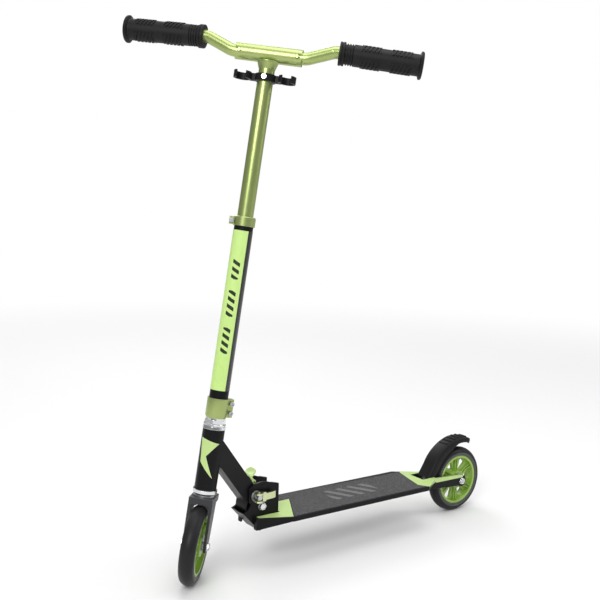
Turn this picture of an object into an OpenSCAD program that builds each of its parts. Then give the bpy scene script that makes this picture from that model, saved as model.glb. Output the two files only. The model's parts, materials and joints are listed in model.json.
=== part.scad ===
// Folding kick scooter. Rear is +X, the rider's right is +Y, up is +Z.
// The ground is z = 0. The origin lies below the middle of the overall box.

/* [Wheels] */
// Outer diameter of both wheels
wheel_d = 125; // [110:1:150]
// Width of both tyres
wheel_w = 24; // [20:0.5:26]
// Diameter of the wheel core that carries the tyre
rim_d = 94; // [84:1:100]
// Distance between the axles, measured with the steering straight
wheelbase = 594; // [560:1:720]
// Number of openings around each wheel core
spoke_count = 6; // [5:1:7]
// Radius of each axle shaft
axle_r = 4; // [3.5:0.5:5]

/* [Steering] */
// Lean of the steering column from upright, in degrees
rake = 8.5; // [6:0.5:12]
// Distance from the steering axis forward to the front axle
fork_offset = 15.8; // [10:0.2:20]
// Turn of the steering in the rest position, in degrees
steer_turn = 46; // [-60:1:60]
// Thickness of each fork leg
leg_t = 4.5; // [4:0.1:6]
// Fore-and-aft depth of each fork leg
leg_depth = 24; // [20:1:28]
// Thickness of the fork crown
crown_t = 10; // [8:0.5:14]
// Outer diameter of the head tube
head_tube_d = 35; // [34:0.5:40]
// Length of the head tube
head_tube_l = 96; // [80:1:120]
// Outer diameter of the outer steering tube
outer_tube_d = 30; // [29:0.5:32]
// Length of the outer steering tube
outer_tube_l = 313; // [280:1:400]
// Wall of the outer steering tube
outer_tube_wall = 1.7; // [1.5:0.1:2]
// Outer diameter of the inner telescoping tube
inner_tube_d = 25; // [22:0.5:25]
// Wall of the inner telescoping tube
inner_tube_wall = 1.6; // [1.2:0.1:2.5]
// Distance from the column's base to the middle of the handlebar T
tee_height = 765; // [740:1:800]
// Height of the lower clamp
clamp_h = 31; // [24:1:36]
// Height of the top collar
collar_h = 15; // [12:1:18]

/* [Handlebar] */
// Outer diameter of the T tube
tee_d = 26; // [25:0.5:30]
// Length of the T tube
tee_l = 104; // [96:1:120]
// Outer diameter of each handlebar
bar_d = 19.2; // [18:0.2:20]
// Length of each handlebar inside the T tube
bar_seat = 38; // [30:1:42]
// Distance from the column to the outer end of each grip
bar_reach = 235; // [215:1:260]
// Rise of each handlebar between the T tube and the grip
bar_rise = 17.5; // [8:0.5:24]
// Backward sweep of each grip, in degrees
grip_sweep = 5.3; // [0:0.1:9]
// Diameter of the grip's body
grip_d = 33.4; // [30:0.2:36]

/* [Deck] */
// Width of the deck
deck_w = 102; // [90:1:120]
// Thickness of the deck
deck_t = 8; // [7:0.5:10]
// Height of the deck's top above the ground, at the middle of the deck
deck_z = 83.6; // [80:0.2:92]
// Slope of the deck, down to the rear, in degrees
deck_tilt = 1; // [0:0.1:1.5]
// Thickness of the grip surface
tape_t = 0.8; // [0.6:0.1:1.2]

/* [Folding joint] */
// Distance from the front axle back to the fold pivot
pivot_back = 124; // [116:1:140]
// Height of the fold pivot above the ground
pivot_z = 104.5; // [102:0.5:112]
// Thickness of each cheek of the folding bracket
cheek_t = 4; // [3:0.5:5]
// Width of the down beam
beam_w = 29.4; // [26:0.2:32]
// Depth of the down beam
beam_depth = 28; // [24:1:30]
// Slope of the down beam, in degrees
beam_slope = 53.5; // [50:0.5:57]
// How far the column folds back, in degrees
fold_travel = 84; // [70:1:84]

/* [Brake] */
// Gap between the top of the rear tyre and the outside of the mudguard
guard_rise = 21; // [19:0.5:26]
// Half of the mudguard's width
guard_half = 16.2; // [15:0.1:17]
// Thickness of the mudguard's top
guard_t = 5.5; // [4:0.5:6]

/* [Hidden] */
$fn = 64;
e = 0.02;                       // overshoot of every cut
run_gap = 0.08;                 // radial gap of a shaft that turns or slides in a bore
seat_gap = 0.05;                // radial gap of a clamp that sits on a tube
side_gap = 0.3;                 // gap between pieces that move past each other

// Wheels
wheel_r = wheel_d / 2;
rim_r = rim_d / 2;
front_axle_x = -306.6;
middle_y = -12.2;
rear_axle_x = front_axle_x + wheelbase;
bearing_r = 11;
bearing_w = 7;
core_w = wheel_w - 2;
hub_r = 17;
washer_r = 7;
axle_nut_r = 6;
axle_nut_h = 2.6;
axle_end_washer = 0.8;
tyre_shoulder = 9;

// Steering column. Its base is where the steering axis is level with the straight front axle.
axle_drop = fork_offset * tan(rake);
col_x = front_axle_x + fork_offset / cos(rake);
col_z = wheel_r + fork_offset * sin(rake) * (1 - cos(steer_turn));
leg_in = wheel_w / 2 + 2.6;
leg_out = leg_in + leg_t;
crown_z = wheel_r - axle_drop + 2.6;
crown_top = crown_z + crown_t;
steerer_r = outer_tube_d / 2 - outer_tube_wall - run_gap;
race_h = 2.7;
cup_h = 8;
cup_z = crown_top + race_h + side_gap;
head_z = cup_z + cup_h;
head_top = head_z + head_tube_l;
head_bore_r = head_tube_d / 2 - 2.3;
top_cup_h = 5;
nut_z = head_top + top_cup_h + side_gap;
nut_h = 12.4;
clamp_z = nut_z + nut_h;
clamp_r = outer_tube_d / 2 + 2.2;
outer_top = clamp_z + outer_tube_l;
collar_z = outer_top - collar_h + 3;
collar_r = outer_tube_d / 2 + 2;
bushing_l = 40;
wrap_z = clamp_z + clamp_h + 13;
wrap_top = collar_z - 7;
film_t = 0.3;
film_gap = 0.1;                 // gap under a thin film, so that it never dips into what it covers
height_travel = 195;
inner_low = outer_top - 72;
bolt_r = 2.5;

// Handlebar T and bars
tee_r = tee_d / 2;
bar_r = bar_d / 2;
bar_in = tee_l / 2 - bar_seat;
bend_in = tee_l / 2 + 6.5;
bend_out = bend_in + 42;
bend_back = 6.5;
grip_droop = 0.6;
grip_start = 6;
grip_len = (bar_reach - bend_out) / cos(grip_sweep) - grip_start;
button_r = 3;
button_lat = tee_l / 2 - 7;
slot_r = button_r + 0.4;
holder_z = tee_height - 37;
holder_h = 11;
holder_clip_lat = 35;
holder_clip_r = bar_r + 0.6;
holder_clip_back = -8;

// Fold joint
pivot_x = front_axle_x + pivot_back;
pivot_r = 4;
skewer_r = 3;
skewer_angle = 121.5;
skewer_dist = 22;
skewer_x = pivot_x + skewer_dist * cos(skewer_angle);
skewer_z = pivot_z + skewer_dist * sin(skewer_angle);
knuckle_r = skewer_dist + 6;
beam_drop = 2.5;                // the beam's middle line passes this far below the pivot
cheek_in = beam_w / 2 + side_gap;
cheek_out = cheek_in + cheek_t;
cheek_r = knuckle_r + 12;
slot_gap = 0.35;
beam_wall = 2.4;
bush_wall = 2;

// Deck, measured in its own sloping frame whose origin is on its top
deck_half = deck_w / 2;
deck_x = (pivot_x + rear_axle_x) / 2;
deck_front = pivot_x - 14 - deck_x;
deck_wing = pivot_x + 43 - deck_x;
deck_rear = rear_axle_x - wheel_r - 37 - deck_x;
deck_corner = rear_axle_x - wheel_r - 56 - deck_x;
deck_tail = rear_axle_x - wheel_r - 10 - deck_x;
notch_end = pivot_x + 36 - deck_x;
flange_t = 2.5;
nose_drop = 20.5;
skin_t = 0.4;
arm_in = guard_half + 0.8;
arm_t = 5;
arm_out = arm_in + arm_t;
arm_start = deck_rear - 62;
arm_tip_r = 11;

// Brake
brake_x = rear_axle_x - wheel_r - 15.5;
brake_z = deck_z - 4.6 - (brake_x - deck_x) * sin(deck_tilt);
brake_pin_r = 2.5;
brake_boss_r = 5.5;
guard_x = rear_axle_x + 2.5;
guard_r = wheel_r + guard_rise;
guard_skirt = guard_r - 15;
guard_wall = 2.4;
guard_from = 74;
guard_to = 168;
skirt_from = 100;
spring_w = 4;

// Release lever, held by two lugs on the rear face of the beam
lever_along = 38;
lever_off = 4;
lever_pin_r = 1.5;
lever_w = 22;
lug_t = 2.5;

black = "#1b1b1d";
grey = "#6e7072";
olive = "#9ab06b";
lime = "#8fb43c";
pale = "#c8e79a";
silver = "#d0d2d4";
rubber = "#222224";

// Frames ---------------------------------------------------------------------------------------

// Puts the scooter's middle plane where the overall box, with its turned handlebar, is centred
module on_middle() {
    translate([0, middle_y, 0]) children();
}

module column_frame() {
    translate([col_x, 0, col_z]) rotate([0, rake, 0]) children();
}

module steer_frame() {
    column_frame() rotate([0, 0, steer_turn]) children();
}

module deck_frame() {
    translate([deck_x, 0, deck_z]) rotate([0, deck_tilt, 0]) children();
}

// Puts the children's Z axis across the scooter, so that +Z points to the rider's left
module across(x, z) {
    translate([x, 0, z]) rotate([90, 0, 0]) children();
}

// The beam's frame: the origin is on the pivot, +Z points up the beam and +X to its rear face
module beam_frame() {
    translate([pivot_x, 0, pivot_z]) rotate([0, beam_slope - 90, 0]) children();
}

module front_axle_frame() {
    steer_frame() translate([-fork_offset, 0, -axle_drop]) rotate([90, 0, 0]) children();
}

module rear_axle_frame() {
    across(rear_axle_x, wheel_r) children();
}

// Puts the children's Z axis along the line from a to b
module along(a, b) {
    d = b - a;
    translate(a) rotate([0, acos(d.z / norm(d)), atan2(d.y, d.x)]) children();
}

// Shared shapes --------------------------------------------------------------------------------

module ring(r_out, r_in, h) {
    difference() {
        cylinder(r = r_out, h = h);
        translate([0, 0, -e]) cylinder(r = r_in, h = h + 2 * e);
    }
}

module centred_ring(r_out, r_in, h) {
    translate([0, 0, -h / 2]) ring(r_out, r_in, h);
}

module hex_nut(r, h, bore) {
    difference() {
        cylinder(r = r, h = h, $fn = 6);
        translate([0, 0, -e]) cylinder(r = bore, h = h + 2 * e);
    }
}

module tyre() {
    half = wheel_w / 2;
    crown = wheel_r - tyre_shoulder;
    rotate_extrude($fn = 96) intersection() {
        translate([rim_r, -half]) square([wheel_r - rim_r, wheel_w]);
        union() {
            translate([0, -half]) square([crown, wheel_w]);
            translate([wheel_r - half * 1.15, 0]) circle(r = half * 1.15);
        }
    }
}

// A wheel core: a rim and a hub joined by a web with long openings
module wheel_core() {
    web = 5;
    rim_wall = 3.5;
    open_in = hub_r + 6;
    open_out = rim_r - rim_wall - 8;
    difference() {
        union() {
            centred_ring(rim_r, rim_r - rim_wall, core_w);
            cylinder(r = rim_r - 1, h = web, center = true);
            cylinder(r = hub_r, h = core_w, center = true);
        }
        cylinder(r = bearing_r - 3, h = wheel_w, center = true);
        for (side = [0, 1]) mirror([0, 0, side]) {
            translate([0, 0, core_w / 2 - bearing_w]) cylinder(r = bearing_r, h = bearing_w + e);
        }
        for (i = [0 : spoke_count - 1]) rotate(i * 360 / spoke_count) {
            translate([open_in, 0, 0]) cylinder(r = 3.6, h = web + 1, center = true);
            translate([open_out, 0, 0]) cylinder(r = 7, h = web + 1, center = true);
            linear_extrude(web + 1, center = true) {
                polygon([[open_in, -3.4], [open_out, -6.8], [open_out, 6.8], [open_in, 3.4]]);
            }
        }
    }
}

module wheel_bearings() {
    for (side = [0, 1]) mirror([0, 0, side]) translate([0, 0, core_w / 2 - bearing_w]) {
        ring(bearing_r, axle_r + run_gap, bearing_w);
    }
}

module bearing_sleeve() {
    centred_ring(axle_r + 2, axle_r + run_gap, core_w - 2 * bearing_w);
}

// Washers between a bearing and the fork leg or arm whose inner face is at reach
module axle_washers(reach) {
    gap = reach - core_w / 2 - side_gap;
    for (side = [0, 1]) mirror([0, 0, side]) {
        translate([0, 0, core_w / 2 + side_gap]) ring(washer_r, axle_r, gap);
    }
}

module axle_nuts(reach) {
    for (side = [0, 1]) mirror([0, 0, side]) translate([0, 0, reach]) {
        ring(axle_nut_r + 0.4, axle_r, axle_end_washer);
        translate([0, 0, axle_end_washer]) hex_nut(axle_nut_r, axle_nut_h, axle_r);
    }
}

module axle_shaft(reach) {
    cylinder(r = axle_r, h = 2 * (reach + axle_end_washer + axle_nut_h + 0.4), center = true);
}

function coil_point(r, pitch, a) = [r * cos(a), r * sin(a), pitch * a / 360];

// A round wire wound about Z, as rings of points joined in order
module coil(r, wire_r, turns, pitch) {
    sides = 8;
    rings = turns * 16;
    points = [for (i = [0 : rings]) let (a = i * turns * 360 / rings)
        for (k = [0 : sides - 1]) let (b = k * 360 / sides)
            coil_point(r + wire_r * cos(b), pitch, a) + [0, 0, wire_r * sin(b)]];
    walls = [for (i = [0 : rings - 1], k = [0 : sides - 1]) let (n = (k + 1) % sides)
        [i * sides + k, (i + 1) * sides + k, (i + 1) * sides + n, i * sides + n]];
    ends = [[for (k = [0 : sides - 1]) k], [for (k = [0 : sides - 1]) rings * sides + sides - 1 - k]];
    polyhedron(points, concat(walls, ends));
}

// Deck -----------------------------------------------------------------------------------------

module deck_outline(inset = 0) {
    h = deck_half - inset;
    polygon([
        [deck_front + inset, -cheek_out - 8 + inset], [deck_wing, -h],
        [deck_corner - inset, -h], [deck_tail - inset, -arm_out + inset / 2],
        [deck_tail - inset, arm_out - inset / 2], [deck_corner - inset, h],
        [deck_wing, h], [deck_front + inset, cheek_out + 8 - inset]]);
}

module bracket_notch() {
    translate([deck_front - 20, -cheek_out]) square([notch_end - deck_front + 20, 2 * cheek_out]);
}

module deck() {
    color(black) on_middle() difference() {
        deck_frame() difference() {
            translate([0, 0, -deck_t]) linear_extrude(deck_t) difference() {
                deck_outline();
                bracket_notch();
                translate([deck_rear, -arm_in]) square([60, 2 * arm_in]);
            }
            translate([0, 0, -deck_t - e]) linear_extrude(deck_t - flange_t) difference() {
                deck_outline(flange_t);
                translate([deck_front, -cheek_out - 6]) {
                    square([notch_end - deck_front + 6, 2 * cheek_out + 12]);
                }
                translate([arm_start - 6, -arm_out - 2]) {
                    square([deck_tail - arm_start + 6, 2 * arm_out + 4]);
                }
            }
        }
        across(brake_x, brake_z) cylinder(r = brake_pin_r, h = 60, center = true);
    }
    color(black) on_middle() deck_frame() for (side = [0, 1]) mirror([0, side, 0]) nose_skirt();
}

// A wall below the tapering front edge of the deck, deepest at the nose
module nose_skirt() {
    y0 = cheek_out + 8;
    wall = 3;
    intersection() {
        translate([0, 0, -nose_drop - 5]) linear_extrude(nose_drop + 5) {
            polygon([[deck_front, -y0], [deck_wing, -deck_half], [deck_wing, -deck_half + wall],
                [deck_front + wall, -y0 + wall], [deck_front + wall, -cheek_out],
                [deck_front, -cheek_out]]);
        }
        rotate([90, 0, 0]) linear_extrude(2 * deck_half) polygon([
            [deck_front - 1, -nose_drop], [deck_wing, -deck_t + 0.5], [deck_wing, -deck_t + 2],
            [deck_front - 1, -deck_t + 2]]);
    }
}

module grip_surface() {
    color(grey) on_middle() deck_frame() linear_extrude(tape_t) polygon([
        [deck_wing + 2, -deck_half + 2], [deck_wing + 45, cheek_out + 4],
        [notch_end + 2, cheek_out + 4], [notch_end + 2, deck_half - 2],
        [deck_rear - 10, deck_half - 12], [deck_rear - 22, 0], [deck_rear - 32, -deck_half + 16],
        [deck_corner - 4, -deck_half + 2]]);
}

module front_graphic() {
    color(pale) on_middle() deck_frame() linear_extrude(skin_t) polygon([
        [deck_front + 4, -cheek_out - 7], [deck_wing, -deck_half + 2],
        [deck_wing + 43.5, cheek_out + 3.5], [notch_end + 1, cheek_out + 3.5],
        [notch_end + 1, -cheek_out - 1], [deck_front + 4, -cheek_out - 1]]);
}

module rear_graphic() {
    color(pale) on_middle() deck_frame() {
        linear_extrude(skin_t) polygon([
            [deck_rear - 9, deck_half - 13], [deck_rear - 21, 0], [deck_rear - 31, -deck_half + 17],
            [deck_rear - 16, -deck_half + 14], [deck_tail - 1, -arm_out + 0.5],
            [deck_tail - 1, -arm_in - 0.5], [deck_rear - 1, -arm_in - 0.5],
            [deck_rear - 1, arm_in + 0.5], [deck_tail - 1, arm_in + 0.5],
            [deck_tail - 1, arm_out - 0.5]]);
    }
    for (side = [-1, 1]) color(pale) on_middle() translate([0, side * arm_out, 0]) {
        arm_skin(side);
    }
}

// The film on one rear arm, folded over from its top to its outer side
module arm_skin(side) {
    x0 = deck_x + deck_tail + 1;
    x1 = rear_axle_x + 2;
    low = 5.5;
    rotate([90, 0, 0]) translate([0, 0, side > 0 ? -arm_t - film_t : -film_t]) difference() {
        linear_extrude(arm_t + 2 * film_t) polygon([
            [x0, arm_top(x0) - low], [x1, arm_top(x1) - low * 0.4], [x1, arm_top(x1) + film_t],
            [x0, arm_top(x0) + film_t]]);
        translate([0, 0, film_t]) linear_extrude(arm_t) polygon([
            [x0 - 1, arm_top(x0 - 1) - 2 * low], [x1 + 1, arm_top(x1 + 1) - 2 * low],
            [x1 + 1, arm_top(x1 + 1)], [x0 - 1, arm_top(x0 - 1)]]);
        translate([0, 0, side > 0 ? arm_t + film_t : -1]) linear_extrude(film_t + 1) polygon([
            [x0 - 1, arm_top(x0) - 20], [x1 + 1, arm_top(x1) - 20], [x1 + 1, arm_top(x1) + 4],
            [x0 - 1, arm_top(x0) + 4]]);
    }
}

// Rear arms and axle -----------------------------------------------------------------------------

arm_front_z = deck_z - deck_t - deck_tail * sin(deck_tilt);
arm_rise = deck_t - 1.4;
function arm_top(x) = let (x0 = deck_x + deck_tail + 0.8, z0 = arm_front_z + arm_rise,
    z1 = wheel_r + arm_tip_r) z0 + (z1 - z0) * (x - x0) / (rear_axle_x - x0);

module rear_arms() {
    low = arm_front_z - 13;
    color(black) on_middle() for (side = [-1, 1]) translate([0, side * (arm_in + arm_t / 2), 0]) {
        difference() {
            rotate([90, 0, 0]) translate([0, 0, -arm_t / 2]) {
                linear_extrude(arm_t) polygon([
                    [deck_x + arm_start, arm_front_z + 1.2],
                    [deck_x + deck_tail + 0.4, arm_front_z - 0.1],
                    [deck_x + deck_tail + 0.4, arm_front_z + arm_rise],
                    [deck_x + deck_tail + 0.8, arm_front_z + arm_rise],
                    [rear_axle_x, wheel_r + arm_tip_r], [rear_axle_x, wheel_r - arm_tip_r + 2],
                    [deck_x + deck_tail + 4, low], [deck_x + arm_start, arm_front_z - 7]]);
                translate([rear_axle_x, wheel_r, 0]) cylinder(r = arm_tip_r, h = arm_t);
            }
            across(rear_axle_x, wheel_r) cylinder(r = axle_r, h = wheel_w, center = true);
            across(brake_x, brake_z) cylinder(r = brake_pin_r, h = wheel_w, center = true);
        }
    }
}

module rear_axle() {
    color(silver) on_middle() rear_axle_frame() axle_shaft(arm_out);
}

module rear_axle_nuts() {
    color(silver) on_middle() rear_axle_frame() axle_nuts(arm_out);
}

module rear_washers() {
    color(silver) on_middle() rear_axle_frame() axle_washers(arm_in);
}

module rear_tyre() {
    color(rubber) on_middle() rear_axle_frame() tyre();
}

module rear_wheel_core() {
    color(lime) on_middle() rear_axle_frame() wheel_core();
}

module rear_bearings() {
    color(silver) on_middle() rear_axle_frame() wheel_bearings();
}

module rear_bearing_sleeve() {
    color(silver) on_middle() rear_axle_frame() bearing_sleeve();
}

// Brake ----------------------------------------------------------------------------------------

module brake_mudguard() {
    color(black) on_middle() difference() {
        union() {
            across(guard_x, wheel_r) rotate([0, 0, guard_from]) {
                rotate_extrude(angle = guard_to - guard_from, $fn = 96) {
                    translate([guard_r - guard_t, -guard_half]) square([guard_t, 2 * guard_half]);
                }
            }
            across(guard_x, wheel_r) rotate([0, 0, skirt_from]) {
                rotate_extrude(angle = guard_to - skirt_from - 1, $fn = 96) {
                    for (side = [0, 1]) mirror([0, side]) {
                        translate([guard_skirt, guard_half - guard_wall - 0.4]) {
                            square([guard_r - guard_skirt - 1, guard_wall]);
                        }
                    }
                }
            }
            for (side = [0, 1]) mirror([0, side, 0]) translate([0, 0.9 - guard_half, 0]) {
                brake_lug();
            }
        }
        across(brake_x, brake_z) {
            cylinder(r = brake_pin_r + run_gap, h = 3 * guard_half, center = true);
            cylinder(r = brake_boss_r + 0.7, h = 2 * (spring_w + 3), center = true);
        }
        translate([brake_x - 40, -guard_half - 1, brake_z - 40]) {
            cube([100, 2 * guard_half + 2, 40 - brake_boss_r]);
        }
    }
}

// One foot of the mudguard: it reaches down from the arc to the hinge pin
module brake_lug() {
    lug_w = guard_half - spring_w - 3;
    a = guard_to - 6;
    rotate([90, 0, 0]) translate([0, 0, -lug_w]) {
        translate([brake_x, brake_z, 0]) cylinder(r = brake_boss_r, h = lug_w);
        linear_extrude(lug_w) polygon([
            [brake_x - brake_boss_r, brake_z],
            [guard_x + guard_r * cos(a), wheel_r + guard_r * sin(a)],
            [guard_x + (guard_r - guard_t) * cos(a), wheel_r + (guard_r - guard_t) * sin(a)],
            [brake_x + brake_boss_r, brake_z]]);
    }
}

module brake_pin() {
    color(silver) on_middle() across(brake_x, brake_z) {
        cylinder(r = brake_pin_r, h = 2 * arm_out - 0.6, center = true);
    }
}

module brake_spring() {
    color(silver) on_middle() across(brake_x, brake_z) translate([0, 0, -spring_w + 1.5]) {
        coil(brake_pin_r + 1.3, 0.6, 3, 1.7);
    }
}

// Folding bracket ------------------------------------------------------------------------------

// Corners of the bracket's side view, measured from the pivot
nose_tip = [-34.5, -8];
nose_low = [-3, -42];
floor_end = [34, -34];

module cheek_shape() {
    intersection() {
        union() {
            circle(r = cheek_r);
            polygon([nose_tip, nose_low, floor_end, [34, 32], [20, 36], [-20, 34]]);
        }
        polygon([nose_tip, nose_low, floor_end, [34, 60], [-24, 60], [-24, 10], [-20, 4], [-27, -5]]);
    }
}

module cheek(y0) {
    translate([pivot_x, y0 + cheek_t, pivot_z]) rotate([90, 0, 0]) linear_extrude(cheek_t) {
        cheek_shape();
    }
}

// Two cheeks joined by a sloping front wall and a floor
module fold_bracket() {
    color(black) on_middle() difference() {
        union() {
            cheek(cheek_in);
            cheek(-cheek_out);
            across(pivot_x, pivot_z) linear_extrude(2 * (cheek_in + e), center = true) {
                polygon([nose_tip, nose_low, floor_end, floor_end + [0, 3], nose_low + [1.1, 3],
                    nose_tip + [3, 0]]);
            }
        }
        across(pivot_x, pivot_z) cylinder(r = pivot_r, h = 80, center = true);
        across(skewer_x, skewer_z) cylinder(r = skewer_r, h = 80, center = true);
    }
}

module pivot_bolt() {
    color(silver) on_middle() across(pivot_x, pivot_z) {
        translate([0, 0, -cheek_out]) cylinder(r = pivot_r, h = 2 * cheek_out + 5);
        translate([0, 0, -cheek_out - 4]) cylinder(r = 7, h = 4);
    }
}

module pivot_nut() {
    color(silver) on_middle() across(pivot_x, pivot_z) translate([0, 0, cheek_out]) {
        ring(6.6, pivot_r, 1.2);
        translate([0, 0, 1.2]) hex_nut(6, 4.4, pivot_r);
    }
}

cam_r = 7.2;
cam_y = cheek_out + cam_r + 1.4;
cam_pin_r = 2;

module quick_release_skewer() {
    color(silver) on_middle() across(skewer_x, skewer_z) difference() {
        union() {
            translate([0, 0, -cheek_out - 9]) cylinder(r = skewer_r, h = cheek_out + 5 + cam_y);
            translate([0, 0, cam_y - 5]) cylinder(r = 4.4, h = 9);
        }
        translate([0, 20, cam_y]) rotate([90, 0, 0]) cylinder(r = cam_pin_r, h = 40);
    }
}

module skewer_nut() {
    color(olive) on_middle() across(skewer_x, skewer_z) translate([0, 0, -cheek_out - 8]) {
        ring(7.5, skewer_r, 8);
    }
}

module skewer_washer() {
    color(silver) on_middle() across(skewer_x, skewer_z) translate([0, 0, cheek_out]) {
        ring(9, skewer_r, 1);
    }
}

module cam_pin() {
    color(silver) on_middle() translate([skewer_x, -cam_y, skewer_z - 9]) cylinder(r = cam_pin_r, h = 18);
}

// The lever: two round cams on the pin, joined behind the skewer by a curved arm
module cam_lever() {
    color(olive) on_middle() difference() {
        translate([skewer_x, -cam_y, skewer_z]) union() {
            for (z = [4.8, -7.8]) translate([0, 0, z]) cylinder(r = cam_r, h = 3);
            translate([6.1, -2.6, -7.8]) cube([6.4, 5.2, 15.6]);
            translate([12, -2.6, -5.5]) cube([5, 4.2, 11]);
            translate([16.5, 57.4, -5.5]) intersection() {
                ring(60, 56.2, 11);
                translate([0, -62, -e]) cube([16, 12, 11 + 2 * e]);
            }
        }
        translate([skewer_x, -cam_y, skewer_z - 20]) cylinder(r = cam_pin_r + run_gap, h = 40);
    }
}

// Beam and head tube ------------------------------------------------------------------------------

// A wedge between two angles, for cutting rings and discs
module wedge(from, to) {
    reach = 4 * knuckle_r;
    polygon(concat([[0, 0]], [for (i = [0 : 4]) let (a = from + (to - from) * i / 4)
        [reach * cos(a), reach * sin(a)]]));
}

// The beam seen from its left side, with the pivot at the origin
module beam_side() {
    half = skewer_r + slot_gap;
    difference() {
        union() {
            circle(r = beam_depth / 2);
            intersection() {
                circle(r = knuckle_r);
                wedge(100, 218);
            }
            rotate(180 - beam_slope) translate([0, beam_drop - beam_depth / 2]) {
                square([190, beam_depth]);
            }
        }
        intersection() {
            difference() {
                circle(r = skewer_dist + half);
                circle(r = skewer_dist - half);
            }
            wedge(skewer_angle - 9.5, skewer_angle + fold_travel + 9.5);
        }
    }
}

// The beam ends at the head tube, which it is welded to. A curved slot lets it turn past the skewer.
module down_beam() {
    hollow_from = 44;
    color(black) on_middle() union() {
        difference() {
            across(pivot_x, pivot_z) difference() {
                linear_extrude(beam_w, center = true) beam_side();
                cylinder(r = pivot_r + run_gap + bush_wall, h = beam_w + 2, center = true);
            }
            column_frame() translate([-200, -60, -200]) cube([200, 120, 900]);
            column_frame() translate([0, 0, -200]) cylinder(r = head_tube_d / 2 - 1, h = 900);
            beam_frame() {
                translate([beam_wall - beam_depth / 2 - beam_drop, beam_wall - beam_w / 2, hollow_from]) {
                    cube([beam_depth - 2 * beam_wall, beam_w - 2 * beam_wall, 190]);
                }
            }
            column_frame() translate([0, 0, head_top - 1]) cylinder(r = 100, h = 200);
        }
        column_frame() translate([0, 0, head_z]) ring(head_tube_d / 2, head_bore_r, head_tube_l);
    }
}

module pivot_bushing() {
    color("#b08d57") on_middle() across(pivot_x, pivot_z) {
        centred_ring(pivot_r + run_gap + bush_wall, pivot_r + run_gap, beam_w);
    }
}

module headset_cups() {
    color(silver) on_middle() column_frame() {
        translate([0, 0, cup_z]) difference() {
            union() {
                cylinder(r1 = head_tube_d / 2 - 0.2, r2 = head_tube_d / 2 + 2, h = 2.5);
                translate([0, 0, 2.5]) cylinder(r = head_tube_d / 2 + 2, h = cup_h - 2.5);
            }
            translate([0, 0, -e]) cylinder(r = steerer_r + 1.2, h = cup_h + 2 * e);
        }
        translate([0, 0, head_top]) difference() {
            cylinder(r1 = head_tube_d / 2 + 1, r2 = head_tube_d / 2 + 0.3, h = top_cup_h);
            translate([0, 0, -e]) cylinder(r = steerer_r + 1.2, h = top_cup_h + 2 * e);
        }
    }
}

module headset_bearings() {
    color(silver) on_middle() column_frame() for (z = [head_z, head_top - bearing_w]) {
        translate([0, 0, z]) ring(head_bore_r, steerer_r + run_gap, bearing_w);
    }
}

module head_graphic() {
    r = head_tube_d / 2;
    color(pale) on_middle() column_frame() intersection() {
        translate([0, 0, head_z]) ring(r + film_gap + film_t, r + film_gap, head_tube_l);
        translate([0, 0, head_z + head_tube_l / 2]) rotate([0, 0, 225]) rotate([90, 0, 90]) {
            linear_extrude(40) polygon([[-14, 34], [14, 27], [-3, 6], [11, -28], [-11, -4]]);
        }
    }
}

module lever_lugs() {
    x0 = beam_depth / 2 - beam_drop;
    color(black) on_middle() beam_frame() difference() {
        for (side = [0, 1]) mirror([0, side, 0]) translate([0, 5.5, 0]) {
            translate([x0, 0, lever_along - 4]) cube([lever_off, lug_t, 8]);
            translate([x0 + lever_off, 0, lever_along]) rotate([-90, 0, 0]) cylinder(r = 4, h = lug_t);
        }
        translate([x0 + lever_off, 0, lever_along]) rotate([90, 0, 0]) {
            cylinder(r = lever_pin_r, h = 40, center = true);
        }
    }
}

module lever_pin() {
    color(silver) on_middle() beam_frame() translate([beam_depth / 2 - beam_drop + lever_off, 0, lever_along]) {
        rotate([90, 0, 0]) cylinder(r = lever_pin_r, h = lever_w + 2, center = true);
    }
}

module lever_spring() {
    color(silver) on_middle() beam_frame() translate([beam_depth / 2 - beam_drop + lever_off, 3.4, lever_along]) {
        rotate([90, 0, 0]) coil(lever_pin_r + 1.1, 0.5, 4, 1.5);
    }
}

// The release lever: two side lugs on the pin and a broad thumb tab
module release_lever() {
    inner = 5.5 + lug_t + side_gap;
    color(pale) on_middle() beam_frame() translate([beam_depth / 2 - beam_drop + lever_off, 0, lever_along]) {
        difference() {
            union() {
                for (side = [0, 1]) mirror([0, side, 0]) translate([0, inner, 0]) {
                    rotate([-90, 0, 0]) cylinder(r = 3.6, h = lever_w / 2 - inner);
                    translate([-1.6, 0, 0]) cube([3.4, lever_w / 2 - inner, 12]);
                }
                translate([-1.6, -lever_w / 2, 8]) cube([3.4, lever_w, 6]);
                translate([-1.6, -lever_w / 2, 12]) rotate([0, 86, 0]) cube([3, lever_w, 17]);
            }
            rotate([90, 0, 0]) cylinder(r = lever_pin_r + run_gap, h = 60, center = true);
        }
    }
}

// Fork and steering ----------------------------------------------------------------------------

module fork() {
    color("#3a3b3d") on_middle() steer_frame() difference() {
        union() {
            translate([-fork_offset - leg_depth / 2 + 4, -leg_out, crown_z]) {
                cube([fork_offset + leg_depth + 8, 2 * leg_out, crown_t]);
            }
            translate([0, 0, crown_z]) cylinder(r = leg_out, h = crown_t);
            fork_arch();
            for (side = [-1, 1]) translate([0, side * (leg_in + leg_t / 2), 0]) fork_leg();
        }
        translate([0, 0, crown_z - e]) cylinder(r = steerer_r, h = crown_t + 2 * e);
        translate([-fork_offset, 0, -axle_drop]) rotate([90, 0, 0]) {
            cylinder(r = axle_r, h = 80, center = true);
        }
    }
}

// Fills the corners between the crown and the legs, round the top of the tyre
module fork_arch() {
    depth = fork_offset + leg_depth;
    difference() {
        translate([-fork_offset - leg_depth / 2 + 6, -leg_in - 1, crown_z - 9]) {
            cube([depth, 2 * leg_in + 2, 10]);
        }
        translate([-60, 0, crown_z - leg_in]) rotate([0, 90, 0]) {
            cylinder(r = leg_in - e, h = 120, $fn = 96);
        }
    }
}

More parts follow.
